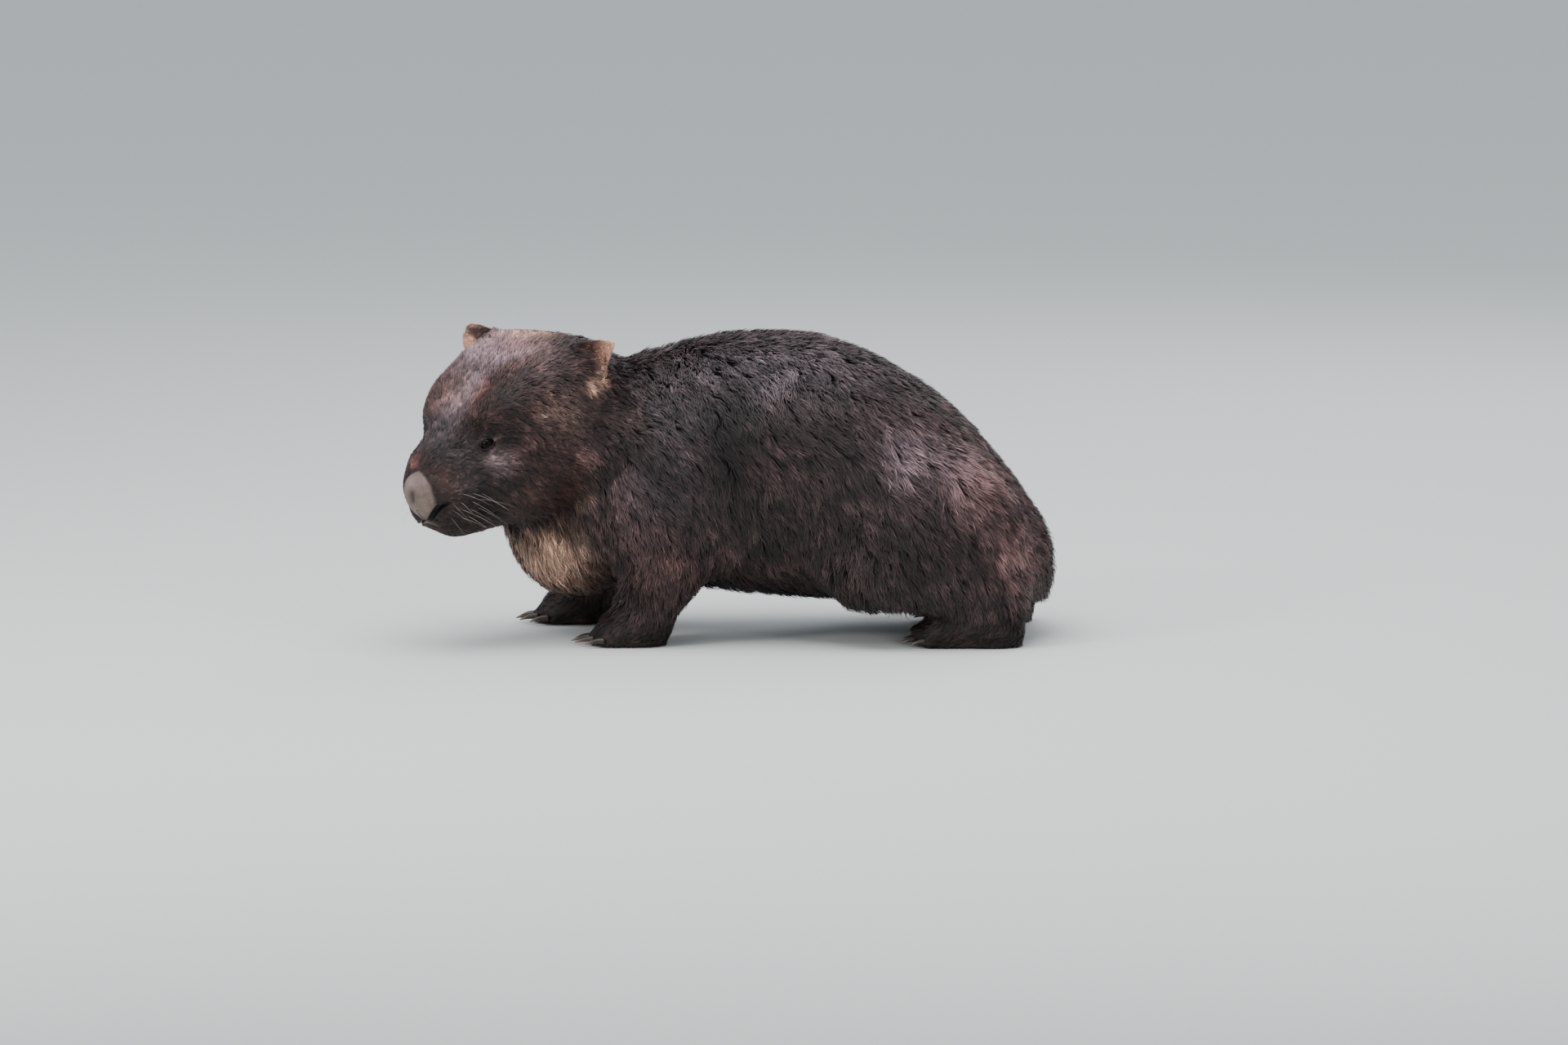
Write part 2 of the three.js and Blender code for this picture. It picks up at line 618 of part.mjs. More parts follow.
for (const [name, side] of Object.entries(SIDES)) {
  const facing = -side; // the head frame's y grows towards the animal's left
  const turn = (place) => sided(place, facing);

  const nostril = channel(NOSTRIL.map(turn), NOSTRIL_RADII, NOSTRIL_DEPTH, { around: 8, along: 8, caps: 1 });
  head = head.subtract(nostril);
  pad = pad.subtract(nostril);

  const look = at(...turn(EYE.look)).normalize();
  const eyeAt = onHead(...turn(EYE.at));
  const ball = (radius, segments) => {
    const sphere = new THREE.SphereGeometry(radius, segments, Math.round(segments * 0.7));
    sphere.translate(...eyeAt.toArray());
    return solidOf(sphere);
  };
  const across = at(0, 0, 1).cross(look).normalize();
  const almond = new THREE.Shape();
  almond.moveTo(-EYE_OPENING.wide / 2, 0);
  almond.quadraticCurveTo(0, EYE_OPENING.above * 2, EYE_OPENING.wide / 2, 0);
  almond.quadraticCurveTo(0, -EYE_OPENING.below * 2, -EYE_OPENING.wide / 2, 0);
  const opening = new THREE.ExtrudeGeometry(almond, { depth: 30, bevelEnabled: false, curveSegments: 8 });
  opening.rotateZ(rad(EYE_OPENING.tilt * facing));
  opening.applyMatrix4(new THREE.Matrix4().makeBasis(across, look.clone().cross(across), look));
  opening.translate(...turn(EYE.at));
  opening.applyMatrix4(headFrame);
  head = head
    .add(ball(EYE.radius + EYE.lid, 18))
    .subtract(ball(EYE.radius + GAP, 16))
    .subtract(solidOf(opening));
  place("eye_" + name, ball(EYE.radius, 15), cornea);
}
place("nose_pad", pad, bareSkin);

// Ears: a bent plate from its root in the head to a blunt tip, hollow towards the front.
for (const [name, ear] of Object.entries(EARS)) {
  const inner = at(...ear.inner);
  const outer = at(...ear.outer);
  const middle = inner.clone().lerp(outer, 0.5);
  const rise = at(...ear.tip).sub(middle);
  const halfBase = outer.clone().sub(inner).multiplyScalar(0.5);
  const backwards = halfBase.clone().cross(rise).normalize();
  if (backwards.x > 0) backwards.negate();
  const plate = new THREE.BoxGeometry(2, 1, 1, 10, 8, 1);
  const corners = plate.attributes.position;
  for (let i = 0; i < corners.count; i++) {
    const across = corners.getX(i);
    const height = lerp(-EAR.root, 1, corners.getY(i) + 0.5);
    const width = Math.pow(Math.max(1 - Math.max(height, 0), 0), ear.full) * (1 - ear.blunt) + ear.blunt;
    const hollow = EAR.cup * (1 - across * across) * (1 - 0.75 * Math.max(height, 0));
    const thinned = (1 - 0.5 * Math.abs(across)) * (1 - 0.35 * Math.max(height, 0));
    const thick = EAR.thick * corners.getZ(i) * thinned;
    const point = middle
      .clone()
      .addScaledVector(rise, height)
      .addScaledVector(halfBase, across * width)
      .addScaledVector(backwards, hollow + thick - EAR.cup / 2);
    corners.setXYZ(i, ...point.toArray());
  }
  plate.applyMatrix4(headFrame);
  place("ear_" + name, solidOf(plate).subtract(headWrap(GAP)), fur);
}
place("head", head, fur);

// Tail: a stub under the rump.
const tailForm = limb(TAIL.from, TAIL.to, TAIL.root, TAIL.tip);
const tailLine = new THREE.LineCurve3(at(...TAIL.from), at(...TAIL.to));
const tailWrap = (grow) => wrap(tailForm, tailLine, { around: 12, along: 2, caps: 3, grow });
torso = torso.subtract(tailWrap(GAP));
place("tail", tailWrap(0), fur);
place("torso", torso, fur);

// The origin lies on the floor, under the middle of the animal's box.
const box = new THREE.Box3().setFromObject(animal);
const centre = box.getCenter(at(0, 0, 0));
animal.position.set(-centre.x, -centre.y, -box.min.z);

export default animal;
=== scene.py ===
# %% [markdown]
# # A wombat as a still museum model
#
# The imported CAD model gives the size, the pose and the outline out to the tips of the coat.
# Blender adds what a visitor looks at: one skin under the whole animal, lids and nose leather,
# wet dark eyes, horn claws, whiskers, and a coarse coat built tuft by tuft as real mesh.
#
# Everything below is in metres and in the frame of the CAD model, with +Z up.
# The animal looks towards -X and -Y, so its left side is the one that the camera sees.

import math

import bmesh
import bpy
import numpy as np
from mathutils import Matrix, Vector
from mathutils.kdtree import KDTree


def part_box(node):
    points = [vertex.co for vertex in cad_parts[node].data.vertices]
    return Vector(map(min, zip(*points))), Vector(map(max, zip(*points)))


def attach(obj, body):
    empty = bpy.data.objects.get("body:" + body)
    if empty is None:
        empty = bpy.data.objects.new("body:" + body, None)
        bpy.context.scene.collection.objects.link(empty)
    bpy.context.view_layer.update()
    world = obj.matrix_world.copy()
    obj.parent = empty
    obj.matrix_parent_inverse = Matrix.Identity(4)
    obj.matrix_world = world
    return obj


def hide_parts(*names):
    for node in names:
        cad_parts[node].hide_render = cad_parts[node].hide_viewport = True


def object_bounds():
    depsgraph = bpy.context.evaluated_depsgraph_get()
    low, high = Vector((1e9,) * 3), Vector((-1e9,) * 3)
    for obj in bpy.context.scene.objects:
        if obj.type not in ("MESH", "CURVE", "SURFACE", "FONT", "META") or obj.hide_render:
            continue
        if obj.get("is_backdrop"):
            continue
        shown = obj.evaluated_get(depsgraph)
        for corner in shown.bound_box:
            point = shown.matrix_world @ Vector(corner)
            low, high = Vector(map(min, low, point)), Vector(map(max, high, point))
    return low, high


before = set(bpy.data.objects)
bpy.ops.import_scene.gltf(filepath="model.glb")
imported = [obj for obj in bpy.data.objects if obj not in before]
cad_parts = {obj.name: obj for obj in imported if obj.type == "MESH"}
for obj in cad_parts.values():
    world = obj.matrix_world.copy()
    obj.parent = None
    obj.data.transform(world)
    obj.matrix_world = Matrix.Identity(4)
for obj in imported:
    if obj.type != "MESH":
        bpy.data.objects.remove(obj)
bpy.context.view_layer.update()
MM = 0.001
print("CAD nodes:", len(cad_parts))

# %% [markdown]
# ## The frame of the head
#
# A face is easiest to shape in its own directions: forward to the nose, left, and up.
# The two CAD eyes give the head's place, so the face follows the CAD wherever it goes.
# Places on the head are written in millimetres as (forward, left, up).

# %% Head frame
HEAD_YAW, HEAD_DROP, HEAD_ROLL = (math.radians(a) for a in (45.0, 13.0, -2.0))
EYE_FORWARD, EYE_OUT, EYE_UP = 119.5, 39.3, 39.6

head_f = np.array(
    [
        -math.cos(HEAD_YAW) * math.cos(HEAD_DROP),
        -math.sin(HEAD_YAW) * math.cos(HEAD_DROP),
        -math.sin(HEAD_DROP),
    ]
)
level_left = np.array([math.sin(HEAD_YAW), -math.cos(HEAD_YAW), 0.0])
head_l = level_left * math.cos(HEAD_ROLL) + np.cross(head_f, level_left) * math.sin(
    HEAD_ROLL
)
head_u = np.cross(head_f, head_l)
head_axes = np.stack([head_f, head_l, head_u])


def middle(node):
    low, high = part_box(node)
    return np.array((low + high) / 2)


head_at = (middle("eye_left") + middle("eye_right")) / 2
head_at = head_at - (EYE_FORWARD * head_f + EYE_UP * head_u) * MM


def on_head(*place):
    """A place on the head, in mm forward, left and up, as a point of the model in metres."""
    return head_at + np.array(place) @ head_axes * MM


def in_head(points):
    """Points of the model as mm forward, left and up on the head."""
    return (points - head_at) @ head_axes.T / MM


print("left eye off its place, mm:", in_head(middle("eye_left")).round(2))

# %% [markdown]
# ## The camera
#
# The picture was taken from far away with a long lens, a little above the animal's back.
# A long lens keeps lines nearly parallel, so the near and the far ear keep their true sizes.
# The lens follows from the distance and from how much of the world the frame is wide.

# %% Camera
VIEW_DOWN = math.radians(7.0)
PHOTO_WIDE, PIXELS_PER_METRE = 1920, 1150.0
FRAME_WIDTH = PHOTO_WIDE / PIXELS_PER_METRE
CAMERA_AWAY = 14.0
SENSOR = 36.0
FROM_HEAD = (0.2534, 0.0250, -0.0898)
LOOK_AT = Vector(head_at) + Vector(FROM_HEAD)


def link(obj):
    bpy.context.scene.collection.objects.link(obj)
    return obj


camera = link(bpy.data.objects.new("camera", bpy.data.cameras.new("camera")))
camera.data.sensor_width = SENSOR
camera.data.lens = SENSOR * CAMERA_AWAY / FRAME_WIDTH
camera.data.clip_end = 200.0
toward_camera = Vector((0.0, -math.cos(VIEW_DOWN), math.sin(VIEW_DOWN)))
camera.location = LOOK_AT + toward_camera * CAMERA_AWAY
camera.rotation_euler = toward_camera.to_track_quat("Z", "Y").to_euler()
bpy.context.scene.camera = camera
print("lens, mm:", round(camera.data.lens, 1), "looking at", tuple(round(v, 4) for v in LOOK_AT))

# %% [markdown]
# ## Floor and light
#
# A museum model is shown on a plain pale floor. Large soft lamps wrap round the body as a
# bright overcast sky does: one from above, a smaller one from each side of the camera, the
# left one stronger, and one behind, which draws a thin bright line along the back.

# %% Stage
WORLD_COLOUR = (0.80, 0.86, 0.92, 1.0)
WORLD_STRENGTH = 0.85
FLOOR_SIZE = 90.0

world = bpy.data.worlds.new("studio_air")
bpy.context.scene.world = world
world.use_nodes = True
world.node_tree.nodes["Background"].inputs["Color"].default_value = WORLD_COLOUR
world.node_tree.nodes["Background"].inputs["Strength"].default_value = WORLD_STRENGTH

floor_mesh = bpy.data.meshes.new("floor")
half = FLOOR_SIZE / 2
floor_mesh.from_pydata(
    [(-half, -half, 0), (half, -half, 0), (half, half, 0), (-half, half, 0)],
    [],
    [(0, 1, 2, 3)],
)
floor = link(bpy.data.objects.new("floor", floor_mesh))
floor_paint = bpy.data.materials.new("floor_paint")
floor_paint.use_nodes = True
floor_shader = floor_paint.node_tree.nodes["Principled BSDF"]
floor_shader.inputs["Base Color"].default_value = (0.70, 0.71, 0.70, 1.0)
floor_shader.inputs["Roughness"].default_value = 0.9
floor_mesh.materials.append(floor_paint)
floor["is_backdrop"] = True

LAMPS = {
    "lamp_above": ((-0.2, -0.4, 2.7), 2.4, 78.0, (1.0, 0.99, 0.97)),
    "lamp_left": ((-2.2, -2.0, 1.7), 0.75, 32.0, (1.0, 0.97, 0.93)),
    "lamp_right": ((1.35, -2.3, 1.5), 0.6, 11.0, (1.0, 0.99, 0.97)),
    "lamp_behind": ((1.2, 2.4, 1.9), 1.6, 24.0, (0.95, 0.97, 1.0)),
}
for name, (place, size, power, colour) in LAMPS.items():
    lamp = link(bpy.data.objects.new(name, bpy.data.lights.new(name, "AREA")))
    lamp.data.size = size
    lamp.data.energy = power
    lamp.data.color = colour
    lamp.location = place
    aim = Vector(place) - LOOK_AT
    lamp.rotation_euler = aim.to_track_quat("Z", "Y").to_euler()
    lamp.visible_camera = False
print("lamps:", len(LAMPS))

# %% [markdown]
# ## Small tools for big meshes
#
# The skin has over a hundred thousand points and the coat over a million. Loops in Python
# would take minutes, so meshes pass through numpy arrays in one go.

# %% Mesh tools


def smooth_step(low, high, value):
    """0 below low, 1 above high, and a soft curve between them."""
    t = np.clip((value - low) / (high - low), 0.0, 1.0)
    return t * t * (3.0 - 2.0 * t)


def bump_at(value, centre, width):
    """A soft bump: 1 at centre, fading to 0 over about two widths."""
    return np.exp(-(((value - centre) / width) ** 2))


def unit(vectors):
    return vectors / np.maximum(np.linalg.norm(vectors, axis=1, keepdims=True), 1e-12)


def read(items, key, width, kind=np.float32):
    """What each item of a mesh says, as rows of a few numbers."""
    flat = np.empty(len(items) * width, kind)
    items.foreach_get(key, flat)
    return flat.reshape(-1, width)


def points_of(mesh):
    return read(mesh.vertices, "co", 3).astype(float)


def normals_of(mesh):
    return read(mesh.vertex_normals, "vector", 3).astype(float)


def edges_of(mesh):
    return read(mesh.edges, "vertices", 2, np.int32)


def triangles_of(mesh):
    mesh.calc_loop_triangles()
    return read(mesh.loop_triangles, "vertices", 3, np.int32)


def move_points(mesh, points):
    mesh.vertices.foreach_set("co", points.astype(np.float32).ravel())
    mesh.update()


def mesh_of(name, points, corners, sizes):
    """A smooth-shaded mesh from its points, its faces' corners in a row, and each face's size."""
    mesh = bpy.data.meshes.new(name)
    mesh.vertices.add(len(points))
    mesh.vertices.foreach_set("co", points.astype(np.float32).ravel())
    mesh.loops.add(len(corners))
    mesh.loops.foreach_set("vertex_index", corners.astype(np.int32))
    mesh.polygons.add(len(sizes))
    starts = np.concatenate([[0], np.cumsum(sizes)[:-1]])
    mesh.polygons.foreach_set("loop_start", starts.astype(np.int32))
    mesh.update(calc_edges=True)
    mesh.shade_smooth()
    return mesh


def give(mesh, name, values):
    """Stores a number or a colour for each point, where the materials can read it."""
    kind, key = ("FLOAT", "value") if values.ndim == 1 else ("FLOAT_COLOR", "color")
    layer = mesh.attributes.new(name, kind, "POINT")
    layer.data.foreach_set(key, values.astype(np.float32).ravel())


def averager(edges, count):
    """A function that replaces each point's values by the mean of its neighbours' values."""
    a, b = edges[:, 0], edges[:, 1]
    degree = np.maximum(np.bincount(a, minlength=count) + np.bincount(b, minlength=count), 1)

    def mean(values):
        flat = values.reshape(count, -1)
        out = np.empty_like(flat)
        for k in range(flat.shape[1]):
            column = flat[:, k]
            out[:, k] = np.bincount(a, column[b], count) + np.bincount(b, column[a], count)
        return (out / degree[:, None]).reshape(values.shape)

    return mean


def blurred(values, mean, rounds):
    """Values replaced by their neighbours' mean, round after round."""
    for _ in range(rounds):
        values = mean(values)
    return values


def eased(values, mean, amount, rounds):
    """Values moved part of the way to their neighbours' mean, round after round."""
    for _ in range(rounds):
        values = values + (mean(values) - values) * amount[:, None]
    return values


def tree_of(points):
    """A search tree that finds the nearest of some points."""
    tree = KDTree(len(points))
    for k, place in enumerate(points):
        tree.insert(place, k)
    tree.balance()
    return tree


def lattice_noise(points, size, seed):
    """Smooth random values from -1 to 1 that change over about size metres."""
    at = points / size + 100.0
    cell = np.floor(at).astype(np.int64)
    part = at - cell
    part = part * part * (3.0 - 2.0 * part)
    total = np.zeros(len(points))
    for corner in range(8):
        step = np.array([corner & 1, (corner >> 1) & 1, corner >> 2])
        c = cell + step
        code = c[:, 0] * 73856093 ^ c[:, 1] * 19349663 ^ c[:, 2] * 83492791 ^ seed * 2654435
        code = (code ^ (code >> 13)) * 1274126177 & 0xFFFFFFFF
        value = ((code ^ (code >> 16)) & 0xFFFF) / 32767.5 - 1.0
        total += value * np.prod(np.where(step, part, 1.0 - part), axis=1)
    return total


print("tools ready")

# %% [markdown]
# ## One skin for the whole animal
#
# The CAD model is divided into head, neck, torso, legs and feet, as a person would name them.
# On the animal one skin runs over all of them. The parts are swollen by half a millimetre so
# that they overlap, put into one mesh, and remeshed over a fine grid of small cubes. That
# makes one closed surface with no seam, which is then smoothed to lose the CAD's flat faces.

# %% Swell, join and remesh
FLESH = ["head", "neck", "torso", "tail", "nose_pad", "ear_left", "ear_right"]
FLESH += [
    f"{part}_{side}"
    for part in ("foreleg", "hind_leg", "forefoot", "hind_foot")
    for side in ("left", "right")
]
SWELL = 0.6 * MM
SKIN_CELL = 2.7 * MM


def welded(node):
    """A CAD node's points and triangles, with doubled points made one."""
    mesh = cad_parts[node].data
    points, tris = points_of(mesh), triangles_of(mesh)
    _, first, back_to = np.unique(
        np.round(points * 1e6).astype(np.int64), axis=0, return_index=True, return_inverse=True
    )
    return points[first], back_to.reshape(-1)[tris]


def point_normals(points, tris):
    a, b, c = (points[tris[:, k]] for k in range(3))
    face = np.cross(b - a, c - a)
    out = np.zeros_like(points)
    for k in range(3):
        for axis in range(3):
            out[:, axis] += np.bincount(tris[:, k], face[:, axis], len(points))
    return unit(out)


flesh = {node: welded(node) for node in FLESH}
all_points, all_tris, count = [], [], 0
for node in FLESH + ["eye_left", "eye_right"]:
    points, tris = flesh.get(node) or welded(node)
    all_points.append(points + point_normals(points, tris) * SWELL)
    all_tris.append(tris + count)
    count += len(points)
joined_points, joined_tris = np.concatenate(all_points), np.concatenate(all_tris)
joined_mesh = mesh_of(
    "joined", joined_points, joined_tris.ravel(), np.full(len(joined_tris), 3)
)
joined = link(bpy.data.objects.new("joined", joined_mesh))
remesh = joined.modifiers.new("one_skin", "REMESH")
remesh.mode = "VOXEL"
remesh.voxel_size = SKIN_CELL
skin_mesh = bpy.data.meshes.new_from_object(
    joined.evaluated_get(bpy.context.evaluated_depsgraph_get())
)
bpy.data.objects.remove(joined)
skin_mesh.name = "skin"
print("skin after remeshing:", len(skin_mesh.vertices), "points")

# %% [markdown]
# The coat is longest on the body and nearly nothing on the nose, so the model has to know
# which part of the animal each point of the skin belongs to. Points scattered over the CAD
# parts answer that: the nearest one tells the part. The answers are then blurred along the
# skin, so that every length, colour and direction later changes softly from part to part.

# %% Which part each point belongs to
PARTS = ["head", "nose", "ear_left", "ear_right", "neck", "torso", "tail"]
PARTS += ["foreleg", "forefoot", "hind_leg", "hind_foot"]
PART = {name: k for k, name in enumerate(PARTS)}
SCATTER_PER_AREA = 1.0 / (3.0 * MM) ** 2
luck = np.random.default_rng(7)


def part_of(node):
    if node == "nose_pad":
        return PART["nose"]
    if node.startswith("ear"):
        return PART[node]
    return PART[node.replace("_left", "").replace("_right", "")]


def scatter(points, tris, density):
    """Random places on a mesh: the triangle of each, and its shares of the three corners."""
    a, b, c = (points[tris[:, k]] for k in range(3))
    area = np.linalg.norm(np.cross(b - a, c - a), axis=1) / 2
    wanted = area * density
    number = np.floor(wanted + luck.random(len(tris))).astype(int)
    owner = np.repeat(np.arange(len(tris)), number)
    r, s = luck.random(len(owner)), luck.random(len(owner))
    r = np.sqrt(r)
    return owner, np.stack([1 - r, r * (1 - s), r * s], axis=1)


def mix_at(values, tris, owner, shares):
    """Values given for points, mixed at scattered places."""
    picked = values[tris[owner]]
    if values.ndim == 1:
        return (picked * shares).sum(1)
    return (picked * shares[:, :, None]).sum(1)


marks_at, marks_part = [], []
for node, (points, tris) in flesh.items():
    owner, shares = scatter(points, tris, SCATTER_PER_AREA)
    marks_at.append(mix_at(points, tris, owner, shares))
    marks_part.append(np.full(len(owner), part_of(node)))
marks_at, marks_part = np.concatenate(marks_at), np.concatenate(marks_part)
part_tree = tree_of(marks_at)


def part_shares(points, mean, blur):
    """How much each point belongs to each part, blurred along the skin."""
    nearest = np.array([part_tree.find(p)[1] for p in points])
    shares = np.zeros((len(points), len(PARTS)))
    shares[np.arange(len(points)), marks_part[nearest]] = 1.0
    return blurred(shares, mean, blur)


skin_at = points_of(skin_mesh)
skin_mean = averager(edges_of(skin_mesh), len(skin_at))
PART_BLUR, FACE_BLUR = 14, 10
shares = part_shares(skin_at, skin_mean, PART_BLUR)
print("points by part:", dict(zip(PARTS, np.bincount(shares.argmax(1), minlength=len(PARTS)))))

# %% [markdown]
# Smoothing moves each point towards the mean of its neighbours. Many gentle rounds spread over
# about a centimetre on the body, which melts the CAD's flat faces into round flesh and costs
# less than a millimetre of size. Ears, nose and feet get far less, to stay crisp.

# %% Smooth the skin
SMOOTH_ROUNDS = 70
SMOOTHING = dict.fromkeys(PARTS, 0.6)
SMOOTHING.update(head=0.2, nose=0.05, ear_left=0.035, ear_right=0.035, tail=0.15)
SMOOTHING.update(foreleg=0.35, forefoot=0.08, hind_foot=0.08)


def of_parts(values, shares):
    """A value given for each part, mixed by how much each point belongs to the parts."""
    return shares @ np.array([values[name] for name in PARTS])


amount = of_parts(SMOOTHING, shares)
skin_at = eased(skin_at, skin_mean, amount, SMOOTH_ROUNDS)
move_points(skin_mesh, skin_at)
print("smoothed over", SMOOTH_ROUNDS, "rounds")

# %% [markdown]
# ## Room for the coat
#
# The CAD surface is where the tips of the hair end. The skin lies under it by the depth of
# the coat: about a centimetre on the body, where two-centimetre hair lies back at a slant,
# and one to three millimetres on the face and the feet.
#
# A sculptor then checks the outline against the photograph and adds or shaves a little clay.
# Here each correction is a soft round swelling with a place, a size and a height in
# millimetres, negative for a hollow. Body places are in metres, head places in millimetres
# on the head. The ears are lowered the same way, by the height of the hair on their rims.

# %% Sink the skin by the coat's depth
COAT_DEPTH = dict(
    head=7.0, nose=0.0, ear_left=1.2, ear_right=1.2, neck=9.5, torso=9.5, tail=4.0,
    foreleg=7.0, forefoot=2.4, hind_leg=8.5, hind_foot=2.6,
)  # fmt: skip


def from_eyes(places):
    """How far places on the head, in mm, lie from the middle of the nearer eye."""
    both = np.stack([places[:, 0], np.abs(places[:, 1]), places[:, 2]], 1)
    return np.linalg.norm(both - [EYE_FORWARD, EYE_OUT, EYE_UP], axis=1)


def head_depth(points):
    """Coat depth on the head, mm: thin on the muzzle and round the eyes, deep on the cheeks."""
    places = in_head(points)
    f, _, u = places.T
    depth = 1.3 + 2.2 * smooth_step(165, 125, f) + 3.5 * smooth_step(120, 45, f)
    depth += 3.0 * smooth_step(110, 30, f) * smooth_step(10, -40, u)
    return depth * (0.22 + 0.78 * smooth_step(11, 34, from_eyes(places)))


def coat_depth(points, shares):
    depth = of_parts(COAT_DEPTH, shares)
    return depth + shares[:, PART["head"]] * (head_depth(points) - COAT_DEPTH["head"])


EARS_LOWER = dict(ear_left=3.2, ear_right=4.7)
EAR_EDGE_IN = 4.6
BODY_FORM = [
    ((0.172, 0.0, 0.285), (0.057, 0.13, 0.070), -5.6),
    ((0.283, 0.0, 0.175), (0.024, 0.13, 0.050), -3.7),
    ((-0.113, 0.0, 0.300), (0.017, 0.10, 0.035), -5.6),
]
HEAD_FORM = [
    ((188, 0, 27), (13, 20, 10), -2.0),
    ((105, -65, 75), (18, 14, 13), -4.6),
    ((118, -60, 50), (20, 16, 12), 3.6),
    ((171, -38, 21), (14, 10, 13), -3.8),
    ((171, 38, 21), (14, 10, 13), -1.5),
    ((185, 0, -38), (14, 24, 9), 5.5),
]


def swells(points, table):
    """Millimetres outwards at each point, from soft round swellings and hollows."""
    total = np.zeros(len(points))
    for place, size, out in table:
        away = (((points - np.array(place)) / np.array(size)) ** 2).sum(1)
        total += out * np.exp(-away)
    return total


for ear, lower in EARS_LOWER.items():
    low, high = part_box(ear)
    x, _, z = skin_at.T
    mine = np.clip(1.4 * shares[:, PART[ear]], 0, 1)
    if ear == "ear_left":
        edge = smooth_step(high[0] - 0.018, high[0] - 0.002, x)
        under_tip = smooth_step(high[2] - 0.004, high[2] - 0.026, z)
        skin_at[:, 0] -= mine * EAR_EDGE_IN * MM * edge * under_tip
    skin_at[:, 2] -= mine * lower * MM * smooth_step(high[2] - 0.024, high[2] - 0.004, z)
move_points(skin_mesh, skin_at)

depth = coat_depth(skin_at, shares)
places = in_head(skin_at)
head_share = shares[:, PART["head"]] + shares[:, PART["nose"]]
ear_share = shares[:, PART["ear_left"]] + shares[:, PART["ear_right"]]
depth -= swells(places, HEAD_FORM) * np.clip(head_share, 0, 1)
depth -= swells(skin_at, BODY_FORM) * np.clip(1 - head_share - 2 * ear_share, 0, 1)
depth = blurred(depth, skin_mean, 6)
outward = normals_of(skin_mesh)
on_floor = smooth_step(7 * MM, 3 * MM, skin_at[:, 2])
depth *= 1 - on_floor * smooth_step(-0.3, -0.7, outward[:, 2])
for _ in range(3):
    outward = unit(skin_mean(outward))
skin_at = skin_at - outward * (depth * MM)[:, None]
skin_at = eased(skin_at, skin_mean, amount, 6)
FLOOR_GAP = 0.3 * MM
skin_at[:, 2] = np.maximum(skin_at[:, 2], FLOOR_GAP)
move_points(skin_mesh, skin_at)
print("coat depth, mm: %.1f to %.1f" % (depth.min(), depth.max()))

# %% [markdown]
# ## A finer mesh for the face
#
# Lids are two millimetres thick and the mouth is a line, so the face needs points closer
# together than the back does. The faces round the eyes and on the muzzle are divided in four,
# and those nearest the eyes, the nose and the mouth once more.

# %% Divide the face finer
FINER = ((34, 118), (21, 146))  # within so many mm of an eye, or so far forward on the head


def refine(mesh, wanted):
    """Divides the faces whose points are all wanted."""
    work = bmesh.new()
    work.from_mesh(mesh)
    edges = [e for e in work.edges if wanted[e.verts[0].index] and wanted[e.verts[1].index]]
    bmesh.ops.subdivide_edges(work, edges=edges, cuts=1, use_grid_fill=True)
    work.to_mesh(mesh)
    work.free()


for near_eye, ahead in FINER:
    places = in_head(points_of(skin_mesh))
    refine(skin_mesh, (from_eyes(places) < near_eye) | (places[:, 0] > ahead))
    print("skin:", len(skin_mesh.vertices), "points")

skin_at = points_of(skin_mesh)
skin_mean = averager(edges_of(skin_mesh), len(skin_at))
shares = part_shares(skin_at, skin_mean, FACE_BLUR)
places = in_head(skin_at)
on_face = smooth_step(100, 120, places[:, 0])
skin_at = eased(skin_at, skin_mean, 0.5 * on_face, 10)
move_points(skin_mesh, skin_at)

# %% [markdown]
# ## The eyes and their lids
#
# A wombat's eye is a small dark almond under a heavy upper lid. The lids are a thin cloth of
# skin stretched over the ball, so they are shaped in the ball's own terms: each point of skin
# near an eye is moved to a chosen distance from the ball's middle. Inside the almond it dips
# behind the ball, at the rim it stands a millimetre proud, and further out it joins the face.

# %% Shape the lids
BALL = 9.5
ALMOND_HALF, ALMOND_ABOVE, ALMOND_BELOW = 9.6, 4.9, 4.5
ALMOND_TILT = math.radians(7)
LIDS_REACH = 26


def eye_frame(side):
    """Directions across the lids towards the outer corner, up the lids, and out of the eye."""
    out = unit(np.array([[0.55, side * 0.75, 0.36]]))[0]
    across = np.array([-1.0, 0.0, 0.0])
    across = unit((across - out * (across @ out))[None])[0]
    up = np.cross(out, across) * side
    cos, sin = math.cos(ALMOND_TILT), math.sin(ALMOND_TILT)
    return across * cos + up * sin, up * cos - across * sin, out


def almond_gap(a, b):
    """How far a place lies outside the almond, measured over the ball in mm."""
    t = np.clip(np.abs(a) / ALMOND_HALF, 0, 1.6)
    edge = np.where(b > 0, ALMOND_ABOVE, ALMOND_BELOW) * (1 - np.minimum(t, 1) ** 2.3)
    slope = np.sqrt(1 + (0.75 * t) ** 2)
    inside = (np.abs(b) - edge) / slope
    past = np.abs(a) - ALMOND_HALF
    return np.where(past > 0, np.hypot(np.maximum(past, 0), b), inside)


def lid_profile(gap, b):
    """Distance of the skin from the ball's middle by the gap to the almond."""
    rim = BALL - 4.2 + 4.9 * smooth_step(-1.0, 0.3, gap)
    rim += 0.10 * bump_at(gap, 0.9, 0.7) + 0.6 * smooth_step(0.8, 4.0, gap) * (b > 0)
    return rim - np.where(b > 0, 0.2, 0.4) * bump_at(gap, 3.4, 0.8)


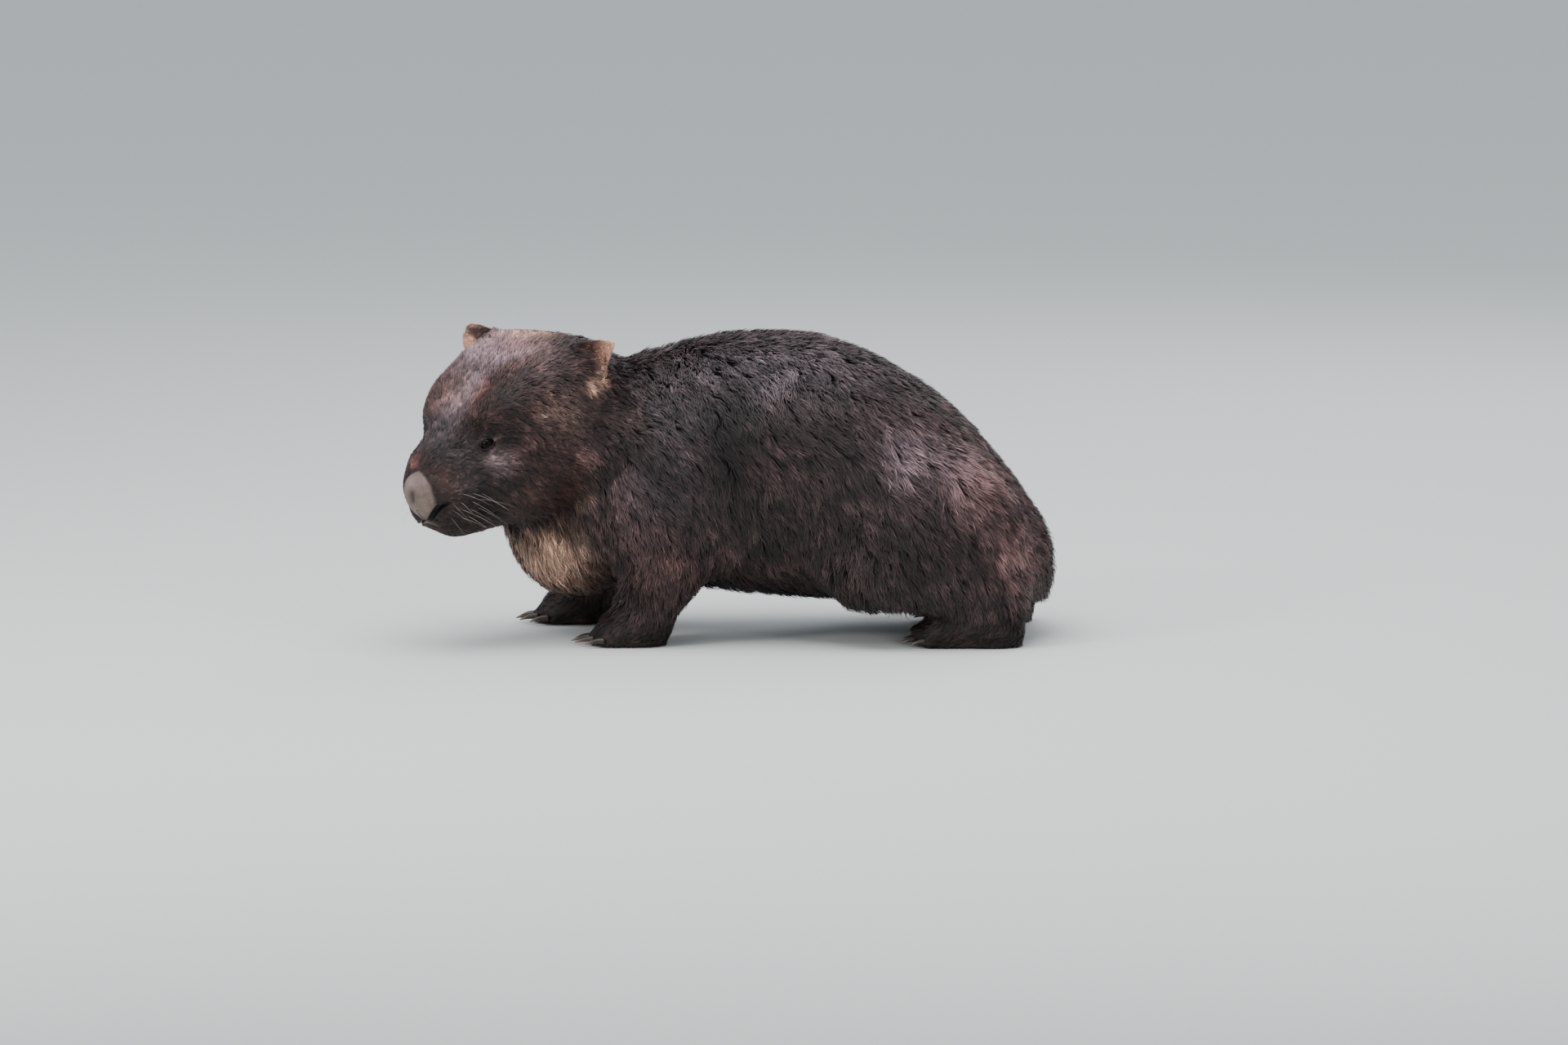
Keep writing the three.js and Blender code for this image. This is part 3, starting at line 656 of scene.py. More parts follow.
lid_rim, eye_corner, eye_hole, lid_fold, lid_dark = np.zeros((5, len(skin_at)))
places = in_head(skin_at)
for side in (1, -1):
    centre = np.array([EYE_FORWARD, side * EYE_OUT, EYE_UP])
    rays = places - centre
    reach = np.linalg.norm(rays, axis=1)
    near = reach < LIDS_REACH
    axes = np.stack(eye_frame(side))
    a, b, w = ((rays[near] / reach[near, None]) @ axes.T).T
    angle = np.arccos(np.clip(w, -1, 1))
    a, b = (BALL * angle / np.maximum(np.sin(angle), 1e-6) * part for part in (a, b))
    gap = almond_gap(a, b)
    lid = lid_profile(gap, b)
    blend = smooth_step(11.0, 2.2, gap)
    target = reach[near] * (1 - blend) + lid * blend
    above = smooth_step(-1.0, 2.0, b)
    fold = bump_at(gap, 6.0, 1.1) * above
    target += above * (0.9 * bump_at(gap, 8.6, 1.8) - 1.6 * fold) - 0.4 * bump_at(gap, 6.5, 0.9)
    places[near] = centre + rays[near] / reach[near, None] * target[:, None]
    lid_rim[near] += smooth_step(1.4, 0.6, gap)
    lid_dark[near] += smooth_step(3.4, 0.9, gap)
    # This mask is painted darker later, as shade in the fold over the eye and towards its outer
    # corner.
    lid_fold[near] += fold + 0.8 * above * bump_at(gap, 4.6, 3.0) * smooth_step(3.0, 8.0, a)
    eye_hole[near] += smooth_step(0.3, -0.3, gap)
    corner = np.exp(-(((a - ALMOND_HALF - 0.7) / 1.5) ** 2 + (b / 1.4) ** 2))
    eye_corner[near] += 0.8 * corner * smooth_step(BALL + 4.5, BALL + 2.0, target)
skin_at = head_at + places @ head_axes * MM
round_eyes = smooth_step(30, 20, from_eyes(places)) * (1 - np.minimum(lid_rim, 1))
skin_at = eased(skin_at, skin_mean, 0.5 * round_eyes, 10)
skin_at = eased(skin_at, skin_mean, 0.25 * lid_rim, 2)
move_points(skin_mesh, skin_at)
print("lid points:", int((lid_rim > 0.5).sum()))

# %% [markdown]
# ## Nose, mouth and wrinkles
#
# Lines on a face are grooves. Each is a row of places on the head that is laid on the skin,
# and every point of skin is pushed in by how close it lies to the line. The nostrils are
# commas that open to the side, the mouth is one long soft line, and shallow wrinkles run from
# the nose leather up towards the eye. The grooves are painted too, as shade in them: the
# nostrils, the mouth, the cleft and the dimple nearly black, and the wrinkles darker.

# %% Carve the lines of the face
NOSTRIL = [(186, 2, -33), (188, 11, -26), (185, 19, -14), (177, 25, -8), (167, 29, -8)]
MOUTH = [(112, 47, -28), (124, 45, -36), (136, 42, -40)]
MOUTH += [(160, 33, -42), (182, 16, -38), (193, 0, -34)]
CLEFT = [(196, 0, -14), (195, 0, -24), (192, 0, -36)]
DIMPLE = [(200, 0, 6), (200, 0, 2), (199, 0, -2)]
WRINKLES = [
    ([(150, 17, 36), (140, 20, 42), (131, 23, 50)], 0.7, 1.2),
    ([(158, 24, 24), (146, 30, 30), (136, 33, 33)], 0.6, 1.1),
    ([(168, 12, 30), (160, 19, 29), (152, 25, 22)], 0.7, 1.2),
    ([(140, 8, 52), (130, 13, 60), (118, 18, 68)], 0.5, 1.4),
    ([(152, 34, 14), (140, 41, 16), (130, 45, 20)], 0.6, 1.3),
    ([(160, 14, 40), (148, 25, 42), (137, 33, 44)], 1.0, 1.1),
    ([(154, 18, 46), (143, 27, 50), (133, 34, 53)], 0.9, 1.1),
    ([(158, 30, 30), (157, 38, 22), (160, 42, 12)], 0.7, 1.6),
]
SLIT = [(158, 5, 51), (166, 3, 43), (172, 2, 36)]
PAD_EDGE = [(0, 27), (8, 24), (16, 18), (21, 7), (22, -6), (18, -18), (9, -26), (0, -28)]


def pad_mask(places):
    """1 on the nose leather, 0 off it, from the outline of the pad seen from the front."""
    angle = np.arctan2(np.abs(places[:, 1]), places[:, 2])
    corners = np.array(PAD_EDGE, float)
    turn = np.arctan2(corners[:, 0], corners[:, 1])
    edge = np.interp(angle, turn, np.hypot(*corners.T))
    away = np.hypot(places[:, 1], places[:, 2]) / edge
    return smooth_step(1.07, 0.93, away) * (places[:, 0] > 150)


def mirrored(line):
    return [(f, -l, u) for f, l, u in line]


def laid_on_skin(line, steps=40):
    """A row of places on the head, made smooth and dropped on the skin."""
    row = np.array(line, float)
    at = np.linspace(0, len(row) - 1, steps)
    row = np.stack([np.interp(at, np.arange(len(row)), row[:, k]) for k in range(3)], 1)
    for _ in range(6):
        row[1:-1] = (row[:-2] + 2 * row[1:-1] + row[2:]) / 4
    found = []
    for place in row:
        found.append(face_places[np.argmin(((face_places - place) ** 2).sum(1))])
    found = np.array(found)
    for _ in range(4):
        found[1:-1] = (found[:-2] + 2 * found[1:-1] + found[2:]) / 4
    return found


def nearness(row):
    """Each face point's distance to a row of places, and how far along the row it is nearest."""
    best = np.full(len(face_places), 1e9)
    along = np.zeros(len(face_places))
    for k in range(len(row) - 1):
        step = row[k + 1] - row[k]
        t = np.clip((face_places - row[k]) @ step / max(step @ step, 1e-9), 0, 1)
        away = np.linalg.norm(face_places - row[k] - t[:, None] * step, axis=1)
        closer = away < best
        best[closer] = away[closer]
        along[closer] = (k + t[closer]) / (len(row) - 1)
    return best, along


skin_normal = normals_of(skin_mesh)
places = in_head(skin_at)
face = np.flatnonzero(places[:, 0] > 96)
face_places = places[face]
face_out = skin_normal[face] @ head_axes.T
push, hollow, lip_edge, wrinkled = np.zeros((4, len(face)))

mouth = laid_on_skin(MOUTH + mirrored(MOUTH)[-2::-1], 90)
away, along = nearness(mouth)
taper = smooth_step(0, 0.12, along) * smooth_step(1, 0.88, along)
push -= 3.6 * taper * bump_at(away, 0, 1.25) + 0.6 * bump_at(away, 0, 3.4)
push += 0.7 * taper * bump_at(away, 3.0, 1.5)
hollow = np.maximum(hollow, taper * bump_at(away, 0, 1.1))
lip_edge = np.maximum(lip_edge, bump_at(away, 1.5, 1.6))

for turn in (list, mirrored):
    away, along = nearness(laid_on_skin(turn(NOSTRIL)))
    wide = 2.0 + 2.1 * bump_at(along, 0.40, 0.30)
    taper = smooth_step(0, 0.12, along) * smooth_step(1.0, 0.6, along)
    push -= 6.5 * taper * bump_at(away / wide, 0, 1.0)
    push += 0.9 * bump_at(away, 3.4, 1.5) * taper
    hollow = np.maximum(hollow, taper * smooth_step(1.35, 0.75, away / wide))
    for line, deep, wide in WRINKLES:
        away, along = nearness(laid_on_skin(turn(line)))
        taper = smooth_step(0, 0.3, along) * smooth_step(1, 0.7, along)
        push -= deep * taper * (bump_at(away, 0, wide) - 0.5 * bump_at(away, 2.4 * wide, wide))
        wrinkled = np.maximum(wrinkled, deep * taper * bump_at(away, 0, 1.3 * wide))
away, along = nearness(laid_on_skin(SLIT))
push -= 1.8 * bump_at(away, 0, 1.5)
wrinkled = np.maximum(wrinkled, 1.6 * bump_at(away, 0, 1.8))
for line, deep, wide in ((CLEFT, 1.5, 0.9), (DIMPLE, 1.1, 3.4)):
    away, along = nearness(laid_on_skin(line))
    push -= deep * bump_at(away, 0, wide)
    hollow = np.maximum(hollow, 0.5 * bump_at(away, 0, 0.7 * wide))

edge = pad_mask(face_places)
push -= 0.8 * bump_at(edge, 0.5, 0.3)
grain = lattice_noise(skin_at[face], 1.6 * MM, 11)
push += 0.16 * grain * edge
face_places = face_places + face_out * push[:, None]
skin_at[face] = head_at + face_places @ head_axes * MM
move_points(skin_mesh, skin_at)
leather, dark_hollow, bare_lip, pad_top_shade = np.zeros((4, len(skin_at)))
leather[face] = edge
# Painted shade: the grooves of the nostrils, the mouth, the cleft and the dimple, and the skin
# behind the eyeball, are painted nearly black.
dark_hollow[face] = hollow
dark_hollow = np.maximum(dark_hollow, eye_hole)
bare_lip[face] = lip_edge * smooth_step(168, 184, face_places[:, 0])
# The folds and wrinkles of the face are painted darker, as shade in them.
crease_shade = lid_fold.copy()
crease_shade[face] += wrinkled
# Along the groove at the top edge of the nose leather the skin is painted darker, as shade.
pad_top_shade[face] = bump_at(edge, 0.45, 0.3) * smooth_step(12, 20, face_places[:, 2])
print("face points:", len(face), "deepest, mm: %.1f" % -push.min())

# %% [markdown]
# ## Markings
#
# The coat is a dusky brown that changes from place to place: frosted with grey on the
# forehead, under the eyes and along the back, tan at the throat, the crown and the rims of the
# ears, rusty on the bridge of the nose and the haunches, nearly black round the eyes, on the
# shoulder's band and under the belly. Not all of this is the coat's own colour. The grey on
# the forehead and along the back is partly a painted sheen of light from above. The black
# under the belly, in the shoulder's band, under the jaw and at the mouth's corners is painted
# shade, under the body and in the creases, and round the eyes it is partly painted shade in
# the crease at their outer corners. Each marking is a few soft round patches with a place, a
# size and a strength, all in millimetres. Skin and hair ask the same patches, so they agree.
#
# Pale, grey, rust, dark and warm say which colour is mixed in. Light and shade say how bright
# the hair is. That is partly the hair's own tone and partly painted light and shade: lighter
# on the forehead, the crown, the back and the hips, which face the light from above, and
# darker under the jaw, under the belly and behind the shoulder. A rough coat is one where
# locks of unlike brightness lie side by side.

# %% Where the colours lie


def patches(points, table):
    """The strongest of several soft patches at each point, from 0 to 1."""
    out = np.zeros(len(points))
    for place, size, strength in table:
        away = (((points - np.array(place)) / np.array(size)) ** 2).sum(1)
        out = np.maximum(out, strength * np.exp(-away))
    return out


def both_sides(*rows):
    """Patches on one side of the animal, and the same on the other."""
    return [((a, turn * b, c), *rest) for (a, b, c), *rest in rows for turn in (1, -1)]


HEAD_PALE = [
    ((122, 55, 22), (12, 10, 7), 0.1),
    ((-6, -10, 118), (16, 30, 10), 0.65),
    ((60, 86, 60), (30, 14, 22), 0.22),
    ((48, 92, 37), (9, 8, 10), 0.4),
    ((80, 76, -22), (42, 20, 20), 0.12),
    ((60, 78, -50), (46, 26, 30), 0.3),
    ((60, -78, -50), (46, 26, 30), 0.4),
    ((3, 88, 77), (12, 9, 9), 0.9),
]
HEAD_PALE += both_sides(
    ((133, 50, 27), (4, 4, 3), 0.3),
    ((119, 58, 38), (5, 4, 4), 0.35),
    ((168, 27, 8), (16, 12, 12), 0.25),
)
# Grey: the coat's grizzle under the eyes, and on the forehead partly a painted sheen of light from
# above.
HEAD_GREY_AND_SHEEN = [
    ((85, -9, 90), (26, 15, 14), 0.62),
    ((62, 6, 104), (20, 16, 12), 0.72),
    ((50, 22, 112), (14, 12, 10), 0.6),
    ((60, -40, 100), (50, 34, 36), 0.6),
    ((130, -6, 62), (40, 26, 30), 0.7),
    ((148, 40, 12), (20, 14, 12), 0.45),
]
HEAD_GREY_AND_SHEEN += both_sides(
    ((124, 58, 24), (22, 16, 13), 0.85),
)
HEAD_RUST = [
    ((184, 18, 26), (8, 8, 4), 0.9),
    ((178, 26, 22), (9, 7, 5), 0.7),
    ((184, -20, 26), (8, 8, 4), 0.8),
    ((180, -10, 33), (11, 12, 8), 1.0),
    ((104, 44, 82), (26, 20, 14), 0.25),
    ((120, 12, 78), (30, 20, 20), 0.12),
    ((80, 76, -10), (40, 20, 24), 0.3),
]
# Dark: the brows are the coat's own colour; behind the outer corners of the eyes, at the mouth's
# corners, under the muzzle and under the cheek this is painted shade, in creases and under the
# jaw.
HEAD_DARK_AND_SHADE = [
    ((100, 42, 84), (26, 20, 16), 0.55),
    ((100, -42, 84), (26, 20, 16), 0.45),
    ((117, -20, 75), (7, 7, 8), 0.6),
    ((165, 20, -34), (16, 18, 10), 0.45),
    ((4, 106, 24), (16, 14, 22), 0.6),
    ((7, -105, 25), (22, 16, 26), 0.6),
    ((62, 86, 14), (26, 16, 12), 0.25),
    ((89, 75, -38), (34, 18, 9), 0.45),
]
HEAD_DARK_AND_SHADE += both_sides(
    ((110, 60, 50), (10, 7, 9), 0.75),
    ((158, 39, 30), (7, 7, 14), 0.6),
    ((139, 39, -30), (26, 14, 13), 0.85),
)
# Lighter: on the forehead and the crown this is partly painted light from above; under the eyes
# and on the neck it is the hair's own paler tone.
HEAD_LIGHT = [
    ((100, -15, 80), (44, 40, 34), 0.86),
    ((40, -5, 112), (42, 62, 24), 1.34),
    ((60, 84, 66), (34, 24, 28), 0.44),
    ((180, -12, 32), (12, 12, 8), 0.82),
    ((40, -70, 80), (50, 40, 40), 0.5),
    ((3, 84, 92), (30, 20, 26), 0.55),
    ((38, 94, 18), (20, 18, 26), 0.8),
]
HEAD_LIGHT += both_sides(
    ((165, 34, 15), (22, 14, 16), 0.2),
    ((122, 57, 26), (20, 16, 13), 0.66),
)
# Painted shade under the jaw and the chin, and a little darker on the cheek and the brow.
HEAD_SHADE = [
    ((104, 44, 82), (28, 24, 16), 0.08),
    ((89, 75, -38), (40, 26, 20), 0.34),
    ((84, 76, -8), (36, 24, 18), 0.14),
]
HEAD_SHADE += both_sides(
    ((165, 14, -40), (18, 26, 12), 0.25),
)
HEAD_WARM = [
    ((96, 40, 80), (36, 28, 22), 0.95),
    ((80, 76, -10), (44, 26, 26), 0.9),
    ((89, 75, -38), (40, 26, 22), 1.0),
    ((104, -44, 82), (34, 26, 20), 0.6),
    ((79, 70, 26), (30, 20, 18), 0.7),
    ((80, -76, -20), (44, 26, 34), 0.9),
]
HEAD_WARM += both_sides(
    ((165, 30, -38), (22, 22, 14), 0.9),
)
# Lighter: on the hips, the rump and the top of the back this is partly painted light from above;
# at the throat it is the paler hair.
BODY_LIGHT = [
    ((199, -107, 225), (70, 50, 55), 0.78),
    ((268, -100, 192), (58, 80, 60), 1.18),
    ((299, -100, 112), (42, 70, 55), 0.95),
    ((64, -78, 298), (130, 60, 30), 0.36),
    ((-49, -73, 290), (50, 50, 25), 0.14),
    ((-78, -110, 175), (40, 60, 60), 0.06),
    ((-114, -110, 178), (22, 40, 55), 0.6),
    ((-148, -100, 214), (30, 40, 55), 0.76),
    ((-185, -55, 103), (60, 90, 50), 0.54),
    ((-60, -120, 90), (60, 60, 50), 0.22),
    ((240, 80, 205), (80, 70, 60), 0.9),
    ((300, 80, 116), (40, 70, 55), 0.45),
    ((40, 80, 298), (120, 60, 30), 0.36),
    ((-80, 110, 190), (50, 60, 60), 0.3),
    ((-145, 100, 216), (34, 40, 55), 0.4),
]
# Painted shade in the crease behind the shoulder and under the belly, and darker hair on the flank
# and the thigh.
BODY_SHADE = [
    ((-4, -115, 250), (22, 50, 60), 0.74),
    ((-60, -100, 262), (50, 50, 34), 0.27),
    ((125, -140, 200), (36, 50, 50), 0.38),
    ((205, -145, 134), (50, 50, 42), 0.34),
    ((-70, -130, 180), (30, 50, 45), 0.22),
    ((42, -120, 120), (30, 50, 45), 0.12),
    ((60, 0, 50), (220, 160, 40), 0.1),
    ((155, -125, 218), (12, 40, 22), 0.25),
    ((318, -80, 125), (12, 30, 30), 0.3),
]
BODY_PALE = [
    ((-200, -50, 112), (55, 70, 35), 0.6),
    ((-180, -40, 75), (50, 70, 35), 0.5),
    ((-160, 80, 110), (50, 60, 50), 0.3),
]
# Grey: partly the coat's grizzle and partly a painted sheen of light from above along the back and
# over the shoulders.
BODY_GREY_AND_SHEEN = [
    ((-70, -100, 190), (45, 60, 60), 0.6),
    ((30, -60, 290), (140, 70, 40), 0.85),
    ((-60, -100, 260), (60, 50, 40), 0.85),
    ((-60, 100, 240), (70, 60, 50), 0.6),
]
BODY_GREY_AND_SHEEN += both_sides(
    ((180, -110, 215), (70, 50, 50), 0.5),
)
BODY_RUST = [
    ((70, 0, 330), (90, 80, 10), 0.8),
    ((310, 0, 130), (40, 110, 60), 0.26),
    ((-70, -120, 100), (40, 40, 50), 0.25),
]
BODY_RUST += both_sides(
    ((275, -80, 190), (50, 60, 50), 0.12),
)
# Nearly black: painted shade under the belly and in the crease behind the shoulder, and darker
# patches of the coat elsewhere.
BODY_DARK_AND_SHADE = [
    ((60, 0, 40), (260, 160, 50), 0.8),
    ((-10, -110, 235), (16, 50, 55), 0.6),
    ((42, -120, 125), (22, 50, 55), 0.6),
    ((-120, -110, 235), (22, 40, 55), 0.65),
    ((150, -120, 225), (12, 40, 25), 0.5),
    ((-130, -100, 170), (20, 40, 60), 0.45),
    ((300, -60, 110), (40, 60, 45), 0.3),
    ((-10, 110, 200), (25, 50, 70), 0.45),
    ((140, 120, 160), (30, 50, 50), 0.4),
]
ROUGH_COAT = [
    ((300, -80, 120), (60, 90, 60), 0.9),
    ((50, -130, 160), (60, 60, 60), 0.5),
    ((-150, -100, 190), (40, 80, 70), 0.7),
]
EAR_TRIANGLES = dict(
    ear_left=((0, 44, 117), (-14, 84, 57), (-29, 102, 118)),
    ear_right=((5, -31, 126), (-8, -84, 60), (-3, -99, 118)),
)
EAR_STRIPS = dict(ear_left=(0.47, 0.72), ear_right=(0.64, 0.78))
MOTTLING = ((38, 0.12, 21), (16, 0.20, 22), (8, 0.22, 23))  # size in mm, depth, seed


def on_ear(places, ear):
    """How far across an ear from its inner to its outer edge, and how far up to its tip."""
    inner, outer, tip = (np.array(p, float) for p in EAR_TRIANGLES[ear])
    rise = tip - (inner + outer) / 2
    across = outer - inner
    local = places - inner
    rise_on = rise - across * (rise @ across) / (across @ across)
    up = local @ rise_on / (rise_on @ rise_on)
    side = (local - up[:, None] * rise) @ across / (across @ across)
    return side, up


def markings(points, shares):
    """Pale, rusty, dark and grey at each point, and the tone: half means as the table says."""
    places = in_head(points)
    head = shares[:, PART["head"]] + 0.5 * shares[:, PART["nose"]]
    body = 1 - smooth_step(0.0, 0.5, head)
    pale, grey, rust, dark, light, shade = (
        patches(places, on_the_head) * (1 - body) + patches(points / MM, on_the_body) * body
        for on_the_head, on_the_body in (
            (HEAD_PALE, BODY_PALE),
            (HEAD_GREY_AND_SHEEN, BODY_GREY_AND_SHEEN),
            (HEAD_RUST, BODY_RUST),
            (HEAD_DARK_AND_SHADE, BODY_DARK_AND_SHADE),
            (HEAD_LIGHT, BODY_LIGHT),
            (HEAD_SHADE, BODY_SHADE),
        )
    )
    warm = patches(places, HEAD_WARM) * (1 - body)
    grey, rust, light = grey * (1 - warm), np.maximum(rust, 0.78 * warm), light - 0.21 * warm
    for ear in EAR_TRIANGLES:
        side, up = on_ear(places, ear)
        mine = shares[:, PART[ear]]
        strip = smooth_step(*EAR_STRIPS[ear], side + 0.28 * up)
        brink = smooth_step(0.03, -0.05, side - 0.5 * up) * smooth_step(0.5, 0.8, up)
        rim = np.maximum(strip, 0.8 * brink)
        pale = pale * (1 - mine) + mine * (0.14 + 0.70 * rim)
        rust = rust * (1 - mine) + mine * (0.30 + 0.15 * strip)
        dark = dark * (1 - mine) + mine * 0.15 * (1 - rim)
        grey = grey * (1 - mine)
        light = light * (1 - mine) + mine * (0.64 + 0.26 * rim)
    feet = shares[:, PART["forefoot"]] + shares[:, PART["hind_foot"]]
    dark = np.maximum(dark, 0.35 * feet)
    tone = 0.5 + light - shade
    rough = 1 + patches(points / MM, ROUGH_COAT)
    for size, depth, seed in MOTTLING:
        tone += rough * depth * lattice_noise(points, size * MM, seed)
    return np.clip(np.stack([pale, rust, dark, grey], 1), 0, 1), np.clip(tone, 0, 1.5)


marks, coat_tone = markings(skin_at, shares)
# Painted shade: darker in the lid's fold, the wrinkles, the slit of the nose and the groove along
# the top of the nose leather.
marks[:, 2] = np.maximum(marks[:, 2], np.clip(0.75 * crease_shade + 0.8 * pad_top_shade, 0, 1))
depth_now = coat_depth(skin_at, shares)
places = in_head(skin_at)
# Tints of the nose leather: a painted pink highlight high on the pad, the red of a scab above it,
# and painted shade in the dimple, the nostrils and the groove along the pad's top.
leather_tint = np.stack(
    [
        patches(places, [((196, -5, 16), (8, 8, 7), 0.7), ((190, 12, 16), (6, 6, 8), 0.25)]),
        patches(places, [((183, -9, 30), (8, 9, 5), 0.9), ((184, 16, 24), (6, 6, 3), 0.6)]),
        patches(
            places,
            [((199, 0, 2), (6, 6.5, 7.5), 0.56), ((189, -14, -22), (8, 7, 8), 0.95)]
            + [((190, 4, -26), (8, 7, 5), 0.6), ((188, 17, -22), (8, 5, 6), 0.5)],
        ),
        np.ones(len(places)),
    ],
    1,
)
leather_tint[:, 2] = np.maximum(leather_tint[:, 2], 0.8 * pad_top_shade)
print("markings, mean pale, rusty, dark, grey:", marks.mean(0).round(2))

# %% [markdown]
# ## The lie of the coat
#
# Hair leans away from the nose, back over the head and shoulders, and slants down the sides.
# Each part of the body states its own direction. The directions are laid flat on the skin and
# blurred along it, so that the coat turns gently from one to the next, as it does in life.

# %% Directions of the hair
LIE_ROUNDS = 70
SWIRLS = ((55, 0.28, 31), (16, 0.20, 32), (7, 0.16, 33))  # size in mm, turn in radians, seed


def turned(vectors, axes, angles):
    """Vectors turned round their axes, to which they stand square."""
    side = np.cross(axes, vectors)
    return vectors * np.cos(angles)[:, None] + side * np.sin(angles)[:, None]


def flat_on(vectors, normals):
    return unit(vectors - normals * (vectors * normals).sum(1, keepdims=True))


def lie_of_coat(points, normals, shares):
    x, _, z = points.T
    up = normals[:, 2]
    zero, one = np.zeros(len(points)), np.ones(len(points))
    f, l, u = in_head(points).T
    out = np.zeros_like(points)

    def lay(parts, *vector):
        weight = sum(shares[:, PART[name]] for name in parts)
        out[:] += weight[:, None] * unit(np.stack(np.broadcast_arrays(*vector), 1) + 0.0 * points)

    back = np.stack([one, zero, zero], 1)
    back -= normals * (back * normals).sum(1, keepdims=True)
    down = flat_on(np.stack([zero, zero, -one], 1), normals)
    slant = np.radians(
        58 * smooth_step(0.998, 0.92, up)
        + 18 * smooth_step(0.14, 0.08, z) * smooth_step(0.5, 0.2, up)
        - 60 * smooth_step(-0.55, -0.95, up)
    )
    flow = back * np.cos(slant)[:, None] + down * np.sin(slant)[:, None]
    chest = smooth_step(-0.11, -0.19, x) * smooth_step(0.5, -0.1, up)
    lay(["torso"], *(flow * (1 - 0.8 * chest)[:, None] + down * 0.9 * chest[:, None]).T)
    throat = smooth_step(0.2, -0.5, up)
    lay(["neck"], *(flow * (1 - 0.7 * throat)[:, None] + down * throat[:, None]).T)
    lay(["hind_leg"], 0.55 - 0.35 * smooth_step(0.14, 0.06, z), zero, -one)
    lay(["foreleg"], 0.16 + 0.40 * smooth_step(0.09, 0.15, z), zero, -one)
    lay(["tail"], 0.2 * one, zero, -one)
    lay(["forefoot", "hind_foot"], -0.9 * one, zero, -0.6 * one)
    temple = smooth_step(42, 72, np.abs(l)) * smooth_step(118, 92, f) * smooth_step(-20, 25, u)
    cheek = smooth_step(30, -10, u) * smooth_step(160, 125, f) * (1 - temple)
    back = np.stack([-one, 0.30 * np.sign(l) * (1 - temple), -1.35 * temple - 0.95 * cheek], 1)
    lay(["head", "nose"], *(back @ head_axes).T)
    for ear, (inner, outer, tip) in EAR_TRIANGLES.items():
        rise = np.array(tip) - (np.array(inner) + np.array(outer)) / 2
        spread = (in_head(points) - (np.array(inner) + np.array(outer)) / 2) * 0.5
        lay([ear], *((rise + spread) @ head_axes).T)
    return out


skin_normal = normals_of(skin_mesh)
lie = flat_on(lie_of_coat(skin_at, skin_normal, shares), skin_normal)
for _ in range(LIE_ROUNDS):
    lie = flat_on(skin_mean(lie), skin_normal)
swirl = sum(depth * lattice_noise(skin_at, size * MM, seed) for size, depth, seed in SWIRLS)
lie = turned(lie, skin_normal, swirl)

edges = edges_of(skin_mesh)
step = skin_at[edges[:, 1]] - skin_at[edges[:, 0]]
turn = skin_normal[edges[:, 1]] - skin_normal[edges[:, 0]]
bend, weight = np.zeros(len(skin_at)), np.zeros(len(skin_at))
for end in (0, 1):
    along = (step * lie[edges[:, end]]).sum(1)
    bend += np.bincount(edges[:, end], (turn * lie[edges[:, end]]).sum(1) * along, len(skin_at))
    weight += np.bincount(edges[:, end], along**2, len(skin_at))
bend = bend / np.maximum(weight, 1e-12)
bend = np.clip(blurred(bend, skin_mean, 12), -25, 25)
print("tightest bends along the coat, 1/m: %.0f to %.0f" % (bend.min(), bend.max()))

# %% [markdown]
# ## How the hair varies
#
# A wombat's coat is coarse: about two centimetres long on the back and flanks, longer on the
# throat and the cheeks, and shrinking to a few millimetres of velvet on the muzzle, round the
# eyes and on the toes. These tables say length, width, how many tufts grow on a square
# centimetre, and how far apart the clumps lie; the height of the tips over the skin is the
# coat's depth from before.

# %% Length, width and number of tufts
LENGTH = dict(
    head=11, nose=2.5, ear_left=3.4, ear_right=3.4, neck=20, torso=20, tail=12,
    foreleg=16, forefoot=7.5, hind_leg=19, hind_foot=7.5,
)  # fmt: skip
WIDTH = dict(
    head=0.65, nose=0.35, ear_left=0.38, ear_right=0.38, neck=0.85, torso=0.85, tail=0.8,
    foreleg=0.8, forefoot=0.6, hind_leg=0.85, hind_foot=0.6,
)  # fmt: skip
PER_CM2 = dict(
    head=60, nose=0, ear_left=190, ear_right=190, neck=42, torso=42, tail=50,
    foreleg=48, forefoot=75, hind_leg=42, hind_foot=70,
)  # fmt: skip
CLUMP = dict(
    head=4.5, nose=3, ear_left=3.5, ear_right=3.5, neck=8, torso=9, tail=6,
    foreleg=7, forefoot=4.5, hind_leg=8.5, hind_foot=4.5,
)  # fmt: skip

places = in_head(skin_at)
f, l, u = places.T
head = shares[:, PART["head"]]
length = of_parts(LENGTH, shares)
width = of_parts(WIDTH, shares)
number = of_parts(PER_CM2, shares)
clump = of_parts(CLUMP, shares)
near_eye = smooth_step(34, 12, from_eyes(places))
head_length = 2.8 + 3.4 * smooth_step(165, 120, f) + 4.5 * smooth_step(115, 50, f)
head_length += 7.0 * smooth_step(120, 60, f) * smooth_step(20, -45, u)
head_length = head_length * (1 - 0.68 * near_eye)
length += head * (head_length - LENGTH["head"])
FACE_LENGTHS, FACE_WIDTHS = [2, 6, 12, 20], [0.36, 0.48, 0.65, 0.85]
FACE_NUMBERS = [290, 170, 68, 48]
width += head * (np.interp(head_length, FACE_LENGTHS, FACE_WIDTHS) - WIDTH["head"])
number += head * (np.interp(head_length, FACE_LENGTHS, FACE_NUMBERS) - PER_CM2["head"])
for ear in EAR_TRIANGLES:
    side, up = on_ear(places, ear)
    outer, inner = smooth_step(0.85, 1.0, side + 0.5 * up), smooth_step(0.15, 0.0, side - 0.5 * up)
    brink = np.maximum(outer, inner)
    length -= shares[:, PART[ear]] * 1.6 * np.maximum(brink, smooth_step(0.75, 0.95, up))
